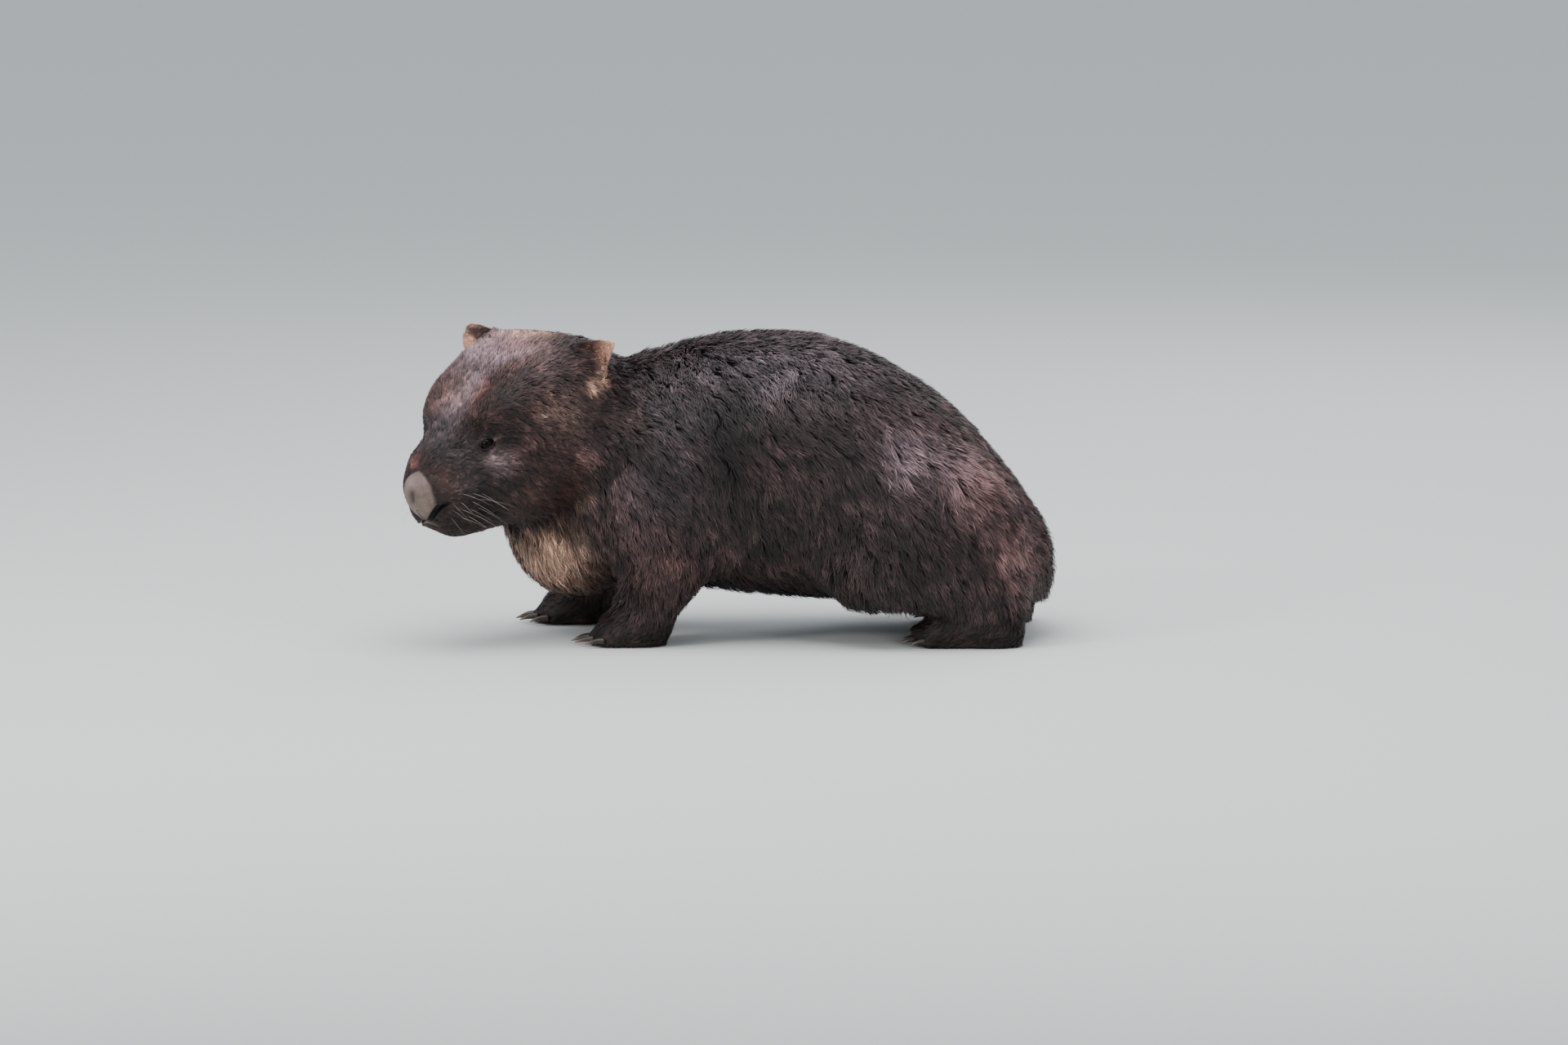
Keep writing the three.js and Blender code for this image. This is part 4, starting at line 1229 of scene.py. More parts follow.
throat = patches(skin_at, [((-0.19, -0.03, 0.10), (0.05, 0.09, 0.04), 1.0)])
length += 5 * throat * (1 - head)
haunch = patches(skin_at, [((0.318, 0.0, 0.088), (0.050, 0.16, 0.050), 1.0)])
depth_now += 6.0 * haunch

bare = np.maximum(leather, dark_hollow)
bare = np.maximum(bare, smooth_step(0.2, 0.8, lid_rim))
bare = np.maximum(bare, smooth_step(0.4, 0.9, bare_lip))
sole = smooth_step(5.0 * MM, 2.5 * MM, skin_at[:, 2])
sole = sole * smooth_step(-0.3, -0.7, skin_normal[:, 2])
number *= (1 - smooth_step(0.25, 0.6, bare)) * (1 - sole)
under = smooth_step(-0.55, -0.85, skin_normal[:, 2]) * (1 - head)
number *= 1 - 0.5 * under
print("tufts wanted:", int((number * 1e4).mean()), "a square metre on average")

# %% [markdown]
# ## Tufts
#
# Blender can grow hair as curves, but curves are lost when a model leaves Blender. Here each
# tuft is real mesh: a tapered blade a millimetre wide with a point, rooted under the skin.
# It rises quickly, then lies back along the coat, bends with the skin below it, and leans
# towards the middle of its clump, because coarse hair always gathers in locks.

# %% Scatter the roots
skin_tris = triangles_of(skin_mesh)
owner, root_shares = scatter(skin_at, skin_tris, number[skin_tris].mean(1) / (10 * MM) ** 2)


def at_roots(values):
    return mix_at(values, skin_tris, owner, root_shares)


root = at_roots(skin_at)
root_normal = unit(at_roots(skin_normal))
root_lie = flat_on(at_roots(lie), root_normal)
root_shares_of_parts = at_roots(shares)
root_part = root_shares_of_parts.argmax(1)
root_length, root_width = at_roots(length), at_roots(width)
root_rise = np.maximum(at_roots(depth_now), 0.7)
root_bend = at_roots(bend)
root_marks, root_tone = at_roots(marks), at_roots(coat_tone)
root_tone += 0.17 * lattice_noise(root, 4.5 * MM, 41)
count = len(root)
print("tufts:", count)

# %% [markdown]
# Clumps are a second, sparser scatter. Every tuft belongs to the nearest clump and takes from
# it a share of its direction, its length and its tone.

# %% Gather the tufts in clumps
clumps_per_area = 1 / (clump[skin_tris].mean(1) * MM) ** 2
clump_owner, clump_shares = scatter(skin_at, skin_tris, clumps_per_area)
clump_at = mix_at(skin_at, skin_tris, clump_owner, clump_shares)
clump_tree = tree_of(clump_at)
root_of_clump = np.array([clump_tree.find(place)[1] for place in root])
to_clump = clump_at[root_of_clump] - root
clump_swing, clump_size, clump_tone, clump_lift = (
    luck.normal(0, 1, len(clump_at))[root_of_clump] for _ in range(4)
)
print("clumps:", len(clump_at))

# %% [markdown]
# The coat is divided into pieces by region, each under two hundred thousand triangles. A piece
# is also unwrapped for itself: its roots are rolled out round an axis through that part of the
# body, and each tuft becomes a tiny patch at its root's place on that map.

# %% Regions of the coat
SPINE_HIGH = 0.165
BACK_EDGE, BELLY_EDGE = 38, 132  # degrees round the body from its top
CHEST_FROM, RUMP_FROM = -0.10, 0.245
MUZZLE_FROM = 88  # mm forward on the head

x, y, z = root.T
spine_height = SPINE_HIGH - 0.06 * smooth_step(0.15, 0.30, x)
round_body = np.degrees(np.arctan2(y, z - spine_height))
root_places = in_head(root)
f, l, u = root_places.T
REGION_AXES = dict(x=(1, 0, 0), z=(0, 0, 1), f=tuple(head_f))


def region_table():
    """Each coat piece: which roots it holds, a point on its unwrap axis, and the axis."""
    part = {name: root_part == k for name, k in PART.items()}
    left = y < 0
    torso = part["torso"]
    front = torso & (x < CHEST_FROM)
    rear = torso & (x > RUMP_FROM)
    trunk = torso & ~front & ~rear
    flank_left = trunk & (round_body < -BACK_EDGE) & (round_body > -BELLY_EDGE)
    flank_right = trunk & (round_body > BACK_EDGE) & (round_body < BELLY_EDGE)
    back = trunk & (np.abs(round_body) <= BACK_EDGE)
    belly = trunk & ~flank_left & ~flank_right & ~back
    head_part = part["head"] | part["nose"]
    muzzle = head_part & (f > MUZZLE_FROM)
    spine = (0.0, 0.0, SPINE_HIGH)
    yield "coat_back", back, spine, "x"
    yield "coat_flank_left", flank_left, spine, "x"
    yield "coat_flank_right", flank_right, spine, "x"
    yield "coat_belly", belly, spine, "x"
    yield "coat_rump", rear | part["tail"], (0.27, 0.0, 0.1), "z"
    yield "coat_shoulders", front, (-0.15, 0.0, 0.15), "x"
    yield "coat_neck", part["neck"], tuple(on_head(-60, 0, 10)), "f"
    yield "coat_muzzle_left", muzzle & (l >= 0), tuple(on_head(120, 5, 0)), "f"
    yield "coat_muzzle_right", muzzle & (l < 0), tuple(on_head(120, -5, 0)), "f"
    yield "coat_head_left", head_part & ~muzzle & (l >= 0), tuple(on_head(0, 10, 10)), "f"
    yield "coat_head_right", head_part & ~muzzle & (l < 0), tuple(on_head(0, -10, 10)), "f"
    for ear in EAR_TRIANGLES:
        yield "coat_" + ear, part[ear], tuple(middle(ear)), "z"
    feet = part["forefoot"] | part["hind_foot"]
    for limbs in (
        (("foreleg", part["foreleg"]), ("hind_leg", part["hind_leg"])),
        (("forefoot", feet & (x < 0)), ("hind_foot", feet & (x >= 0))),
    ):
        for side, mine in (("left", left), ("right", ~left)):
            for limb, here in limbs:
                node = f"{limb}_{side}"
                yield "coat_" + node, here & mine, tuple(middle(node)), "z"


regions = list(region_table())
print("left out:", count - sum(int(mine.sum()) for _, mine, _, _ in regions))

# %% Build the tufts of one region
LONG_STEPS, SHORT_STEPS = (0.0, 0.38, 0.74), (0.0, 0.5)
LONG_PROFILE, SHORT_PROFILE = (0.75, 1.0, 0.72), (0.9, 0.8)
ROOT_DEPTH = 0.5 * MM
PATCH = 0.003
CLUMP_SWING, TUFT_SWING = 0.13, 0.10  # how far the lie strays, in radians
CLUMP_SIZE, TUFT_SIZE = 0.10, 0.16  # spread of the length, as a share of it
CLUMP_LIFT, TUFT_LIFT = 0.08, 0.12  # spread of the height over the skin
CLUMP_TONE, TUFT_TONE = 0.16, 0.09
TUFT_ROLL, TUFT_CURL, TUFT_BROAD = 0.55, 0.09, 0.18
GATHERED, GATHER_SPREAD = 0.55, 0.12  # how far a tip leans to the middle of its clump
# A few tufts are brighter: pale hairs, and partly painted glints of light on the coat.
BRIGHT_SHARE, BRIGHTER = 0.06, 0.30
SHINE_LEAN = 0.42


def rolled_out(points, centre, axis):
    """Each point's place on a map: how far round the axis, and how far along it."""
    axis = np.array(axis, float)
    aside = unit(np.cross(axis, [0.31, 0.2, 0.93])[None])[0]
    ahead = np.cross(axis, aside)
    away = points - np.array(centre)
    round_it = np.arctan2(away @ aside, away @ ahead)
    place = np.stack([round_it, away @ axis], 1)
    low, high = place.min(0), place.max(0)
    return 0.004 + 0.992 * (place - low) / (high - low)


def tuft_mesh(name, mine, centre, axis):
    which = np.flatnonzero(mine)
    n = len(which)
    long = root_length[which].mean() > 9.0
    steps, profile = (LONG_STEPS, LONG_PROFILE) if long else (SHORT_STEPS, SHORT_PROFILE)
    dice = np.random.default_rng(len(name) * 1000 + n)
    normal, lie_here = root_normal[which], root_lie[which]
    swing = CLUMP_SWING * clump_swing[which] + dice.normal(0, TUFT_SWING, n)
    lie_here = turned(lie_here, normal, swing)
    spread = CLUMP_SIZE * clump_size[which] + dice.normal(0, TUFT_SIZE, n)
    size = root_length[which] * MM * np.exp(spread)
    rise = root_rise[which] * MM * np.clip(
        1 + CLUMP_LIFT * clump_lift[which] + dice.normal(0, TUFT_LIFT, n), 0.5, 1.3
    )
    rise = np.minimum(rise, 0.8 * size)
    reach = np.sqrt(np.maximum(size**2 - rise**2, 0))
    side = np.cross(normal, lie_here)
    roll = dice.normal(0, TUFT_ROLL, n)[:, None]
    broad = side * np.cos(roll) + normal * np.sin(roll)
    curl = dice.normal(0, TUFT_CURL, n)
    pull = to_clump[which]
    pull = pull - normal * (pull * normal).sum(1, keepdims=True)
    pull -= lie_here * (pull * lie_here).sum(1, keepdims=True) * 0.6
    pull = pull * (GATHERED + dice.normal(0, GATHER_SPREAD, n))[:, None]
    half = root_width[which] * MM * np.exp(dice.normal(0, TUFT_BROAD, n)) / 2
    rows, along = [], []
    for t, wide in zip((*steps, 1.0), (*profile, 0.0)):
        lift = rise * (1 - (1 - t) ** 2.1) - 0.5 * root_bend[which] * (reach * t) ** 2
        lift = np.maximum(lift, -ROOT_DEPTH * (1 - t))
        centre_line = (
            root[which]
            + normal * (lift - ROOT_DEPTH * (t == 0))[:, None]
            + lie_here * (reach * t)[:, None]
            + side * (curl * size * t * t)[:, None]
            + pull * t**1.3
        )
        if wide:
            rows.append(centre_line - broad * (half * wide)[:, None])
            rows.append(centre_line + broad * (half * wide)[:, None])
            along += [t, t]
        else:
            rows.append(centre_line)
            along.append(t)
    per = len(rows)
    points = np.stack(rows, 1).reshape(-1, 3)
    points[:, 2] = np.maximum(points[:, 2], FLOOR_GAP)
    quads = [(2 * k, 2 * k + 2, 2 * k + 3, 2 * k + 1) for k in range(len(steps) - 1)]
    last = (per - 3, per - 1, per - 2)
    pattern = np.array([c for quad in quads for c in quad] + list(last))
    corners = (np.arange(n)[:, None] * per + pattern).ravel()
    sizes = np.tile([4] * len(quads) + [3], n)
    mesh = mesh_of(name, points, corners, sizes)
    flat = unit(np.cross(lie_here, broad))
    leans = (-SHINE_LEAN, SHINE_LEAN, 0.0)
    shine = [unit(0.62 * normal + 0.38 * flat + lean * broad) for lean in leans]
    shine = np.stack([shine[0], shine[1]] * len(steps) + [shine[2]], 1).reshape(-1, 3)
    mesh.normals_split_custom_set_from_vertices(shine)

    tuft_tone = root_tone[which] + CLUMP_TONE * clump_tone[which] + dice.normal(0, TUFT_TONE, n)
    # A few tufts brighter, as pale hairs and as painted glints.
    tuft_tone += BRIGHTER * (dice.random(n) < BRIGHT_SHARE)
    tint = root_marks[which] * np.exp(dice.normal(0, 0.35, (n, 1)))
    give(mesh, "coat_marks", np.repeat(np.clip(tint, 0, 1), per, axis=0))
    give(mesh, "coat_tone", np.repeat(np.clip(tuft_tone, 0, 1.6), per))
    give(mesh, "coat_along", np.tile(along, n))

    place = rolled_out(root[which], centre, REGION_AXES[axis])
    place = np.repeat(place, per, axis=0).reshape(n, per, 2)
    across = np.array([-1, 1] * len(steps) + [0]) * PATCH / 2
    place[:, :, 0] += across
    place[:, :, 1] += (np.array(along) - 0.5) * PATCH
    layer = mesh.uv_layers.new(name="OFBake", do_init=False)
    flat = np.clip(place.reshape(-1, 2)[corners], 0.0005, 0.9995)
    layer.data.foreach_set("uv", flat.astype(np.float32).ravel())
    triangles = n * (2 * len(quads) + 1)
    return mesh, triangles


coat_pieces = []
total = 0
for name, mine, centre, axis in regions:
    mesh, triangles = tuft_mesh(name, mine, centre, axis)
    coat_pieces.append(link(bpy.data.objects.new(name, mesh)))
    total += triangles
    print(f"{name}: {mine.sum()} tufts, {triangles} triangles")
print("coat triangles in all:", total)

# %% [markdown]
# ## Finishes
#
# Hair, skin and leather share two effects, so each is a node group that is built once. The
# first paints a coat: it reads the markings and how far along the hair a point lies, and mixes
# named colours from root to tip. A tone of a half leaves the mixed colour as it is, and each
# whole step of tone makes it eight times as bright. The second makes the pebbled grain of a nose.

# %% Helpers for nodes


def add_node(tree, kind, **settings):
    made = tree.nodes.new("ShaderNode" + kind)
    for key, value in settings.items():
        setattr(made, key, value)
    return made


def feed(tree, target, source):
    """Gives a socket a number, a colour, or another node's output."""
    if isinstance(source, bpy.types.NodeSocket):
        tree.links.new(source, target)
    else:
        target.default_value = source


def mixed(tree, share, first, second, blend="MIX"):
    mix = add_node(tree, "Mix", data_type="RGBA", blend_type=blend)
    feed(tree, mix.inputs[0], share)
    feed(tree, mix.inputs[6], first)
    feed(tree, mix.inputs[7], second)
    return mix.outputs[2]


def ranged(tree, value, low, high, to_low=0.0, to_high=1.0, smooth=True):
    ramp = add_node(tree, "MapRange")
    ramp.interpolation_type = "SMOOTHSTEP" if smooth else "LINEAR"
    for k, source in enumerate((value, low, high, to_low, to_high)):
        feed(tree, ramp.inputs[k], source)
    return ramp.outputs[0]


def maths(tree, operation, *sources):
    made = add_node(tree, "Math", operation=operation)
    for socket, source in zip(made.inputs, sources):
        feed(tree, socket, source)
    return made.outputs[0]


def stored(tree, name):
    return add_node(tree, "Attribute", attribute_name=name)


def noise(tree, scale, detail=2.0, stretch=(1, 1, 1)):
    where = add_node(tree, "TexCoord").outputs["Object"]
    if stretch != (1, 1, 1):
        squeeze = add_node(tree, "Mapping")
        squeeze.inputs["Scale"].default_value = stretch
        tree.links.new(where, squeeze.inputs[0])
        where = squeeze.outputs[0]
    made = add_node(tree, "TexNoise")
    made.inputs["Scale"].default_value = scale
    made.inputs["Detail"].default_value = detail
    tree.links.new(where, made.inputs["Vector"])
    return made.outputs["Fac"]


def new_group(name, inputs, outputs):
    tree = bpy.data.node_groups.new(name, "ShaderNodeTree")
    for label, (kind, value) in inputs.items():
        socket = tree.interface.new_socket(label, in_out="INPUT", socket_type=kind)
        socket.default_value = value
    for label, kind in outputs.items():
        tree.interface.new_socket(label, in_out="OUTPUT", socket_type=kind)
    return tree, tree.nodes.new("NodeGroupInput").outputs, tree.nodes.new("NodeGroupOutput").inputs


COLOUR, NUMBER = "NodeSocketColor", "NodeSocketFloat"
HAIR = {
    "Root": (0.0130, 0.0071, 0.0068, 1),
    "Coat": (0.0235, 0.0124, 0.0121, 1),
    "Tip": (0.043, 0.0248, 0.0240, 1),
    "Pale": (0.27, 0.17, 0.115, 1),
    "Rust": (0.085, 0.034, 0.024, 1),
    "Dark": (0.0075, 0.0048, 0.0048, 1),
    # Grey is partly the hair's grizzle and partly a painted bluish sheen of light from above.
    "Grey": (0.061, 0.049, 0.060, 1),
}

# %% The coat colours
coat_paint, given, put_out = new_group(
    "coat_paint",
    {label: (COLOUR, colour) for label, colour in HAIR.items()},
    {"Colour": COLOUR, "Roughness": NUMBER, "Height": NUMBER},
)
marks_node = stored(coat_paint, "coat_marks")
along = stored(coat_paint, "coat_along").outputs["Fac"]
split = add_node(coat_paint, "SeparateColor")
coat_paint.links.new(marks_node.outputs["Color"], split.inputs[0])
pale, rust, dark = split.outputs
colour = mixed(coat_paint, ranged(coat_paint, along, 0.0, 0.5), given["Root"], given["Coat"])
colour = mixed(coat_paint, ranged(coat_paint, along, 0.4, 1.0), colour, given["Tip"])
# Grey is partly a painted sheen and dark partly painted shade; pale and rust are the hair's own
# colours.
for mark, label, low, high in (
    (marks_node.outputs["Alpha"], "Grey", 0.3, 0.75),
    (pale, "Pale", 0.2, 0.9),
    (rust, "Rust", 0.3, 0.85),
    (dark, "Dark", 0.85, 0.75),
):
    share = maths(coat_paint, "MULTIPLY", mark, ranged(coat_paint, along, 0.0, 0.8, low, high))
    colour = mixed(coat_paint, share, colour, given[label])
tone = stored(coat_paint, "coat_tone").outputs["Fac"]
tone = maths(coat_paint, "POWER", 8.0, maths(coat_paint, "SUBTRACT", tone, 0.5))
grain = noise(coat_paint, 700.0)
tone = maths(coat_paint, "MULTIPLY", tone, ranged(coat_paint, grain, 0.3, 0.7, 0.85, 1.15))
lightness = add_node(coat_paint, "CombineColor")
for socket in lightness.inputs:
    coat_paint.links.new(tone, socket)
colour = mixed(coat_paint, 1.0, colour, lightness.outputs[0], blend="MULTIPLY")
feed(coat_paint, put_out["Colour"], colour)
feed(coat_paint, put_out["Roughness"], ranged(coat_paint, grain, 0.3, 0.7, 0.42, 0.56))
feed(coat_paint, put_out["Height"], noise(coat_paint, 1400.0, 3.0, stretch=(0.35, 1, 1)))

# %% The pebbled grain of leather
pebbles, given, put_out = new_group(
    "pebbled_leather",
    {
        "Leather": (COLOUR, (0.2, 0.15, 0.13, 1)),
        "Worn": (COLOUR, (0.3, 0.22, 0.2, 1)),
        "Creases": (COLOUR, (0.05, 0.035, 0.03, 1)),
        "Pebbles": (NUMBER, 900.0),
    },
    {"Colour": COLOUR, "Roughness": NUMBER, "Height": NUMBER},
)
where = add_node(pebbles, "TexCoord").outputs["Object"]
cells = add_node(pebbles, "TexVoronoi", feature="DISTANCE_TO_EDGE")
pebbles.links.new(where, cells.inputs["Vector"])
pebbles.links.new(given["Pebbles"], cells.inputs["Scale"])
domes = ranged(pebbles, cells.outputs["Distance"], 0.0, 0.28)
cloud = noise(pebbles, 130.0, 3.0)
fine = noise(pebbles, 2600.0, 2.0)
colour = mixed(pebbles, ranged(pebbles, cloud, 0.35, 0.65), given["Leather"], given["Worn"])
# Painted shade: the grooves between the pebbles are darker.
colour = mixed(pebbles, ranged(pebbles, domes, 0.0, 0.5, 0.35, 0.0), colour, given["Creases"])
feed(pebbles, put_out["Colour"], colour)
feed(pebbles, put_out["Roughness"], ranged(pebbles, cloud, 0.3, 0.7, 0.38, 0.55))
height = maths(pebbles, "MULTIPLY_ADD", fine, 0.25, domes)
feed(pebbles, put_out["Height"], height)
print("node groups:", [tree.name for tree in bpy.data.node_groups])

# %% Hair and skin materials


def new_material(name):
    material = bpy.data.materials.new(name)
    material.use_nodes = True
    shader = material.node_tree.nodes["Principled BSDF"]
    return material, material.node_tree, shader


def group_in(tree, group, **values):
    made = add_node(tree, "Group", node_tree=group)
    for label, value in values.items():
        feed(tree, made.inputs[label], value)
    return made.outputs


def relief(tree, shader, height, depth):
    """Small relief from a height, depth metres high."""
    bump = add_node(tree, "Bump")
    bump.inputs["Distance"].default_value = depth
    bump.inputs["Strength"].default_value = 1.0
    tree.links.new(height, bump.inputs["Height"])
    tree.links.new(bump.outputs[0], shader.inputs["Normal"])


fur, tree, shader = new_material("coarse_fur")
hair = group_in(tree, coat_paint)
feed(tree, shader.inputs["Base Color"], hair["Colour"])
feed(tree, shader.inputs["Roughness"], hair["Roughness"])
shader.inputs["Specular IOR Level"].default_value = 0.38
shader.inputs["Sheen Weight"].default_value = 0.05
shader.inputs["Sheen Roughness"].default_value = 0.4
shader.inputs["Sheen Tint"].default_value = (0.85, 0.8, 0.95, 1)

hide, tree, shader = new_material("hide_and_leather")
under = group_in(tree, coat_paint, Root=(0.016, 0.011, 0.010, 1))
nose = group_in(
    tree,
    pebbles,
    Leather=(0.20, 0.143, 0.120, 1),
    Worn=(0.27, 0.20, 0.172, 1),
    Creases=(0.12, 0.082, 0.069, 1),
    Pebbles=1500.0,
)
bare_mask = stored(tree, "bare_skin").outputs["Fac"]
split = add_node(tree, "SeparateColor")
tree.links.new(stored(tree, "leather_tint").outputs["Color"], split.inputs[0])
# Pink is a painted highlight, red is the scab, and dim is painted shade.
PINK_HIGHLIGHT, RED, DIM_SHADE = (0.42, 0.29, 0.27, 1), (0.11, 0.035, 0.03, 1), (0.035, 0.022, 0.019, 1)
leather_colour = nose["Colour"]
for share, tint in zip(split.outputs, (PINK_HIGHLIGHT, RED, DIM_SHADE)):
    leather_colour = mixed(tree, share, leather_colour, tint)
colour = mixed(tree, bare_mask, under["Colour"], leather_colour)
# The hollows of the face and the skin behind the eyeball are painted nearly black, as shade; the
# lids and the eye corner keep their own colours.
for mask, tint in (
    ("lid_dark", (0.0075, 0.005, 0.0048, 1)),
    ("eye_corner", (0.42, 0.25, 0.21, 1)),
    ("dark_hollow", (0.004, 0.0025, 0.0025, 1)),
):
    colour = mixed(tree, stored(tree, mask).outputs["Fac"], colour, tint)
feed(tree, shader.inputs["Base Color"], colour)


def hide_or_leather(key):
    mix = add_node(tree, "Mix", data_type="FLOAT")
    for k, source in ((0, bare_mask), (2, under[key]), (3, nose[key])):
        feed(tree, mix.inputs[k], source)
    return mix.outputs[0]


feed(tree, shader.inputs["Roughness"], hide_or_leather("Roughness"))
relief(tree, shader, hide_or_leather("Height"), 0.35 * MM)
shader.inputs["Specular IOR Level"].default_value = 0.3

bristle, tree, shader = new_material("whisker_bristle")
feed(tree, shader.inputs["Base Color"], mixed(
    tree, noise(tree, 60.0), (0.16, 0.13, 0.11, 1), (0.48, 0.43, 0.38, 1)
))  # fmt: skip
shader.inputs["Roughness"].default_value = 0.35

horn, tree, shader = new_material("claw_horn")
tip = stored(tree, "toward_tip").outputs["Fac"]
streaks = noise(tree, 260.0, 4.0, stretch=(0.12, 1, 1))
HORN_DARK, HORN_BROWN = (0.020, 0.014, 0.011, 1), (0.055, 0.040, 0.031, 1)
body = mixed(tree, ranged(tree, streaks, 0.35, 0.65), HORN_DARK, HORN_BROWN)
worn = mixed(tree, streaks, (0.12, 0.088, 0.062, 1), (0.22, 0.17, 0.125, 1))
feed(tree, shader.inputs["Base Color"], mixed(tree, ranged(tree, tip, 0.45, 1.0), body, worn))
feed(tree, shader.inputs["Roughness"], ranged(tree, streaks, 0.3, 0.7, 0.3, 0.5))
relief(tree, shader, streaks, 0.2 * MM)
print("materials:", [m.name for m in bpy.data.materials])

# %% Put the skin and the coat together
give(skin_mesh, "coat_marks", marks)
give(skin_mesh, "coat_tone", coat_tone)
give(skin_mesh, "coat_along", np.full(len(skin_at), 0.32))
give(skin_mesh, "leather_tint", leather_tint)
give(skin_mesh, "bare_skin", np.clip(np.maximum(leather, bare_lip), 0, 1))
give(skin_mesh, "dark_hollow", dark_hollow)
give(skin_mesh, "lid_dark", np.clip(lid_dark, 0, 1))
give(skin_mesh, "eye_corner", np.clip(eye_corner, 0, 1))
skin = link(bpy.data.objects.new("skin", skin_mesh))
skin_mesh.shade_smooth()
skin_mesh.materials.clear()
skin_mesh.materials.append(hide)
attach(skin, "root")
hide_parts(*FLESH)
for piece in coat_pieces:
    piece.data.materials.append(fur)
    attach(piece, "root")

# %% [markdown]
# ## Whiskers
#
# Stiff pale whiskers grow in rows on the lip behind each nostril. Each is a round hair that
# tapers to nothing and sags along a curve. A ring of five points swept along that curve
# makes one, and every side is joined in a single mesh.

# %% Whiskers
WHISKER_SIDES, WHISKER_STEPS = 5, 9
WHISKER_ROWS, IN_A_ROW = 4, 4
WHISKER_HALF = 0.20 * MM
LEFT_OR_RIGHT = ((1, "left"), (-1, "right"))


def swept(paths, radii, sides):
    """Tubes along rows of points, closed at both ends; radii gives one for each point."""
    points, corners, sizes = [], [], []
    start = 0
    for path, radius in zip(paths, radii):
        ahead = unit(np.gradient(path, axis=0))
        aside = unit(np.cross(ahead, [0.2, 0.3, 0.93]))
        above = np.cross(ahead, aside)
        turn = np.linspace(0, 2 * math.pi, sides, endpoint=False)
        ring = aside[:, None] * np.cos(turn)[:, None] + above[:, None] * np.sin(turn)[:, None]
        points.append((path[:, None] + ring * radius[:, None, None]).reshape(-1, 3))
        for k in range(len(path) - 1):
            for j in range(sides):
                a, b = start + k * sides + j, start + k * sides + (j + 1) % sides
                corners += [a, b, b + sides, a + sides]
                sizes.append(4)
        last = start + (len(path) - 1) * sides
        corners += list(range(start, start + sides))[::-1] + list(range(last, last + sides))
        sizes += [sides, sides]
        start += len(path) * sides
    return np.concatenate(points), np.array(corners), np.array(sizes)


skin_tree = tree_of(skin_at)
whisker_dice = np.random.default_rng(77)
for side, label in LEFT_OR_RIGHT:
    paths, radii = [], []
    for row in range(WHISKER_ROWS):
        for k in range(IN_A_ROW):
            wanted = on_head(172 - 9 * k + 2 * row, side * (31 + 3 * k), 3 - 9 * row - 1.5 * k)
            index = skin_tree.find(Vector(wanted))[1]
            start, out = skin_at[index], skin_normal[index]
            jitter = whisker_dice.normal(0, 0.18, 3)
            away = unit((0.85 * out - 0.75 * head_f - 0.12 * row * head_u + jitter)[None])[0]
            long = (0.022 + 0.005 * k) * (1 + whisker_dice.normal(0, 0.15))
            t = np.linspace(0, 1, WHISKER_STEPS)[:, None]
            sag = np.array([0, 0, -1.0]) * (0.34 * long) * t**2 - head_f * 0.25 * long * t**2
            paths.append(start - out * 0.8 * MM + away * long * t + sag)
            radii.append(WHISKER_HALF * (1 - 0.85 * t[:, 0]))
    mesh = mesh_of("whiskers_" + label, *swept(paths, radii, WHISKER_SIDES))
    whiskers = link(bpy.data.objects.new("whiskers_" + label, mesh))
    whiskers.data.materials.append(bristle)
    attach(whiskers, "root")
print("whiskers a side:", len(paths))

# %% [markdown]
# ## Claws
#
# A digging animal has long stout claws that curve a little. Each is an oval swept from inside
# the toe to the claw's tip, along the middle line of the same claw in the CAD model, and it
# narrows evenly. The horn is dark with fine streaks lengthwise and is worn pale at the tip.

# %% Claws
CLAW_RINGS, CLAW_SIDES = 14, 20
CLAW_SNUG = 0.92  # the nail's width as a share of the CAD claw's
CLAW_BOW = 0.06
IN_THE_TOE, SHORT_OF_TIP = 2.0 * MM, 0.4 * MM


def claw_line(node):
    """A CAD claw's points, its axis towards the tip, and how far along it each point lies."""
    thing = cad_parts[node]
    world = np.array([thing.matrix_world @ v.co for v in thing.data.vertices])
    middle_of_it = world.mean(0)
    axis = np.linalg.svd(world - middle_of_it, full_matrices=False)[2][0]
    foot = middle(node.replace("_claw", "foot" if "fore" in node else "_foot")[:-2])
    if axis @ (middle_of_it - foot) < 0:
        axis = -axis
    along = (world - middle_of_it) @ axis
    return world, axis, along


claw_nodes = sorted(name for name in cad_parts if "_claw_" in name)
for node in claw_nodes:
    world, axis, along = claw_line(node)
    low, high = along.min(), along.max()
    side = unit(np.cross(axis, [0, 0, 1.0])[None])[0]
    above = np.cross(side, axis)
    root_end, tip_end = world[along < low + 0.2 * (high - low)], world[along.argmax()]
    start = root_end.mean(0)
    half = np.array([np.abs((root_end - start) @ d).max() for d in (side, above)])
    half = half * CLAW_SNUG
    t = np.linspace(0, 1, CLAW_RINGS)[:, None]
    bow = above * CLAW_BOW * (high - low) * np.sin(math.pi * t)
    path = (start - axis * IN_THE_TOE) * (1 - t) + (tip_end - axis * SHORT_OF_TIP) * t + bow
    shrink = np.maximum((1 - t[:, 0] ** 1.6) ** 0.7, 0.06)
    points, corners, sizes = swept([path], [shrink], CLAW_SIDES)
    local = points - np.repeat(path, CLAW_SIDES, axis=0)
    points = np.repeat(path, CLAW_SIDES, axis=0)
    points += np.outer(local @ side * half[0], side) + np.outer(local @ above * half[1], above)
    points += np.outer(local @ axis * half[1], axis)
    mesh = mesh_of(node.replace("claw", "nail"), points, corners, sizes)
    give(mesh, "toward_tip", np.repeat(t[:, 0], CLAW_SIDES))
    nail = link(bpy.data.objects.new(node.replace("claw", "nail"), mesh))
    nail.data.materials.append(horn)
    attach(nail, "root")
    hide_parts(node)
print("claws:", len(claw_nodes))

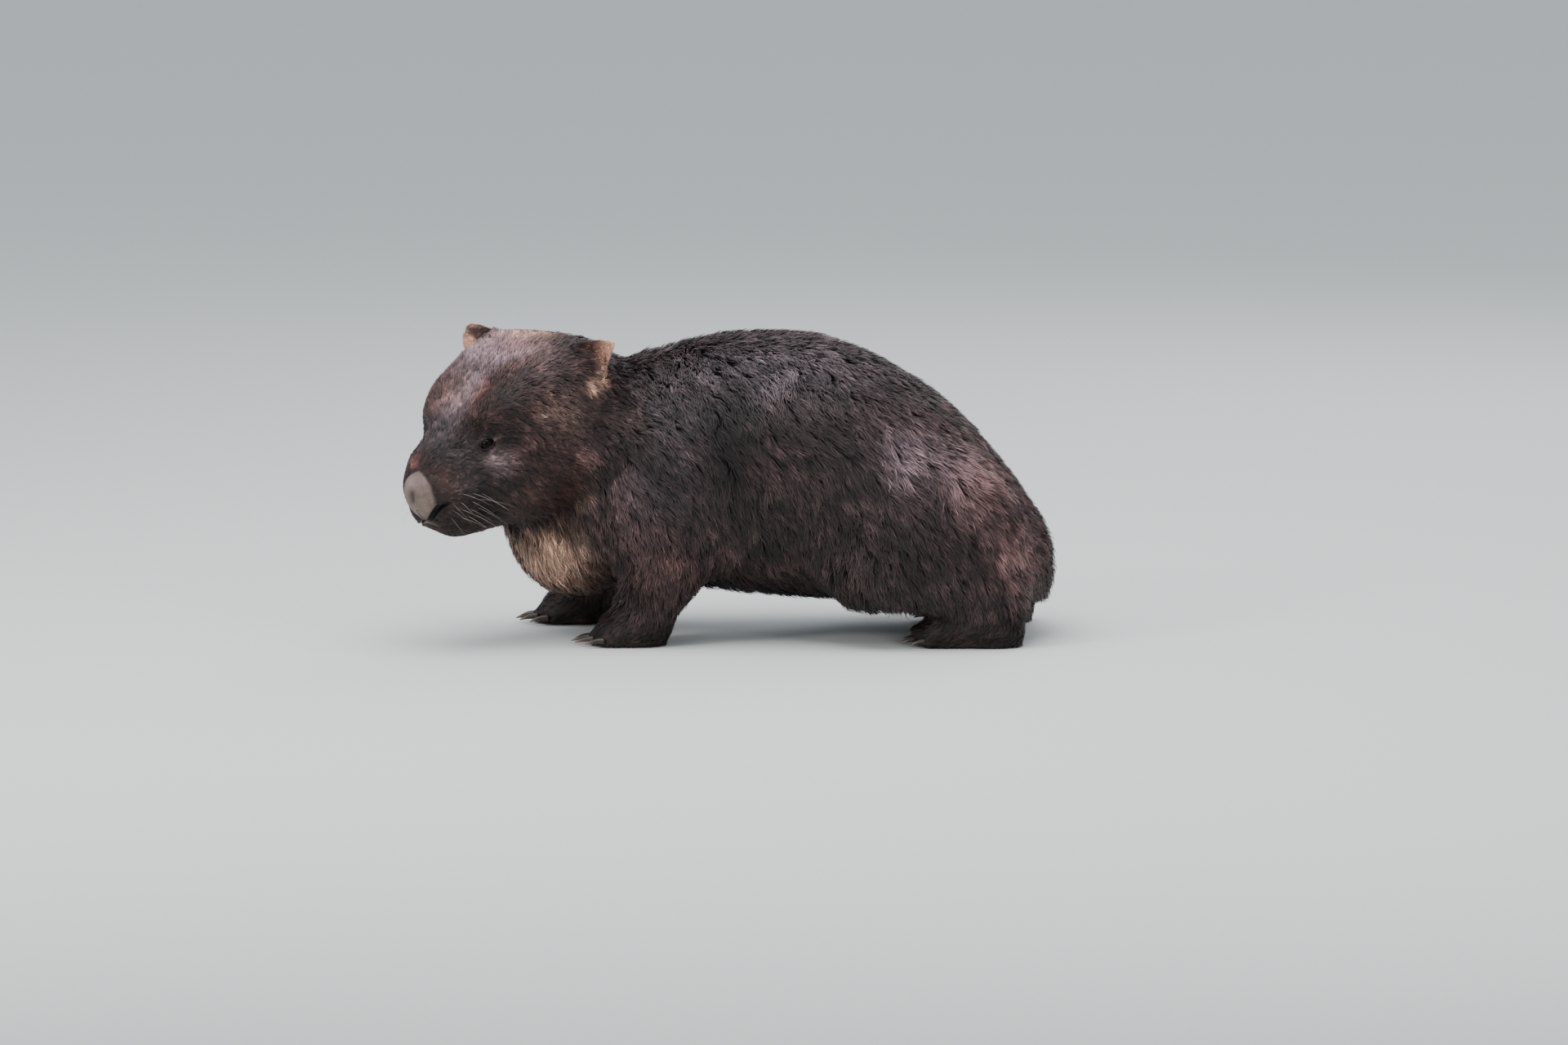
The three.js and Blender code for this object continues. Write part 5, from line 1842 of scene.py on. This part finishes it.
# %% [markdown]
# ## Eyes
#
# The eyes of a wombat are so dark that iris and pupil nearly merge. What makes them alive is
# the wet clear cornea, so each eye is a ball with a slight bulge in front and a sharp coat of
# gloss over a deep brown.

# %% Eyes
EYE_RINGS, EYE_SEGMENTS = 40, 56


def eye_mesh(name, side):
    """A ball with its pole towards the view of the eye, and its cornea bulging a little."""
    across, up, out = eye_frame(side)
    polar = np.linspace(0, math.pi, EYE_RINGS + 1)[1:-1]
    azimuth = np.linspace(0, 2 * math.pi, EYE_SEGMENTS, endpoint=False)
    p, a = np.meshgrid(polar, azimuth, indexing="ij")
    reach = BALL - 0.15 + 0.55 * smooth_step(0.85, 0.0, p)
    ring = np.stack([np.sin(p) * np.cos(a), np.sin(p) * np.sin(a), np.cos(p)], -1)
    local = (ring * reach[..., None]).reshape(-1, 3)
    local = np.concatenate([local, [[0, 0, BALL + 0.4], [0, 0, 0.15 - BALL]]])
    centre = np.array([EYE_FORWARD, side * EYE_OUT, EYE_UP])
    points = head_at + (centre + local @ np.stack([across, up, out])) @ head_axes * MM
    corners, sizes = [], []
    rows = EYE_RINGS - 1
    for r in range(rows - 1):
        for s in range(EYE_SEGMENTS):
            t = (s + 1) % EYE_SEGMENTS
            corners += [r * EYE_SEGMENTS + s, (r + 1) * EYE_SEGMENTS + s]
            corners += [(r + 1) * EYE_SEGMENTS + t, r * EYE_SEGMENTS + t]
            sizes.append(4)
    front, rear = len(points) - 2, len(points) - 1
    last = (rows - 1) * EYE_SEGMENTS
    for s in range(EYE_SEGMENTS):
        t = (s + 1) % EYE_SEGMENTS
        corners += [front, s, t, rear, last + t, last + s]
        sizes += [3, 3]
    mesh = mesh_of(name, points, np.array(corners), np.array(sizes))
    from_pole = np.degrees(np.concatenate([p.ravel(), [0, math.pi]]))
    give(mesh, "from_pupil", from_pole)
    return mesh


eye_gloss, tree, shader = new_material("wet_eye")
angle = stored(tree, "from_pupil").outputs["Fac"]
fibres = noise(tree, 900.0, 3.0)
IRIS, IRIS_FIBRE = (0.008, 0.004, 0.003, 1), (0.004, 0.002, 0.0015, 1)
iris = mixed(tree, ranged(tree, fibres, 0.35, 0.65), IRIS, IRIS_FIBRE)
colour = mixed(tree, ranged(tree, angle, 15.0, 19.0), (0.0008, 0.0006, 0.0006, 1), iris)
colour = mixed(tree, ranged(tree, angle, 46.0, 56.0), colour, (0.003, 0.002, 0.002, 1))
feed(tree, shader.inputs["Base Color"], colour)
shader.inputs["Roughness"].default_value = 0.05
shader.inputs["Specular IOR Level"].default_value = 0.06
shader.inputs["Coat Weight"].default_value = 0.08
shader.inputs["Coat Roughness"].default_value = 0.02
for side, node in ((1, "eye_left"), (-1, "eye_right")):
    eye = link(bpy.data.objects.new(node.replace("eye", "eyeball"), eye_mesh(node, side)))
    eye.data.materials.append(eye_gloss)
    if sum(p.normal.dot(p.center - Vector(middle(node))) for p in eye.data.polygons) < 0:
        eye.data.flip_normals()
    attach(eye, "root")
    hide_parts(node)
print("eyes made")

# %% Sizes and finish
low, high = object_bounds()
print("visual box, mm:", [round(v / MM) for v in (*low, *high)])
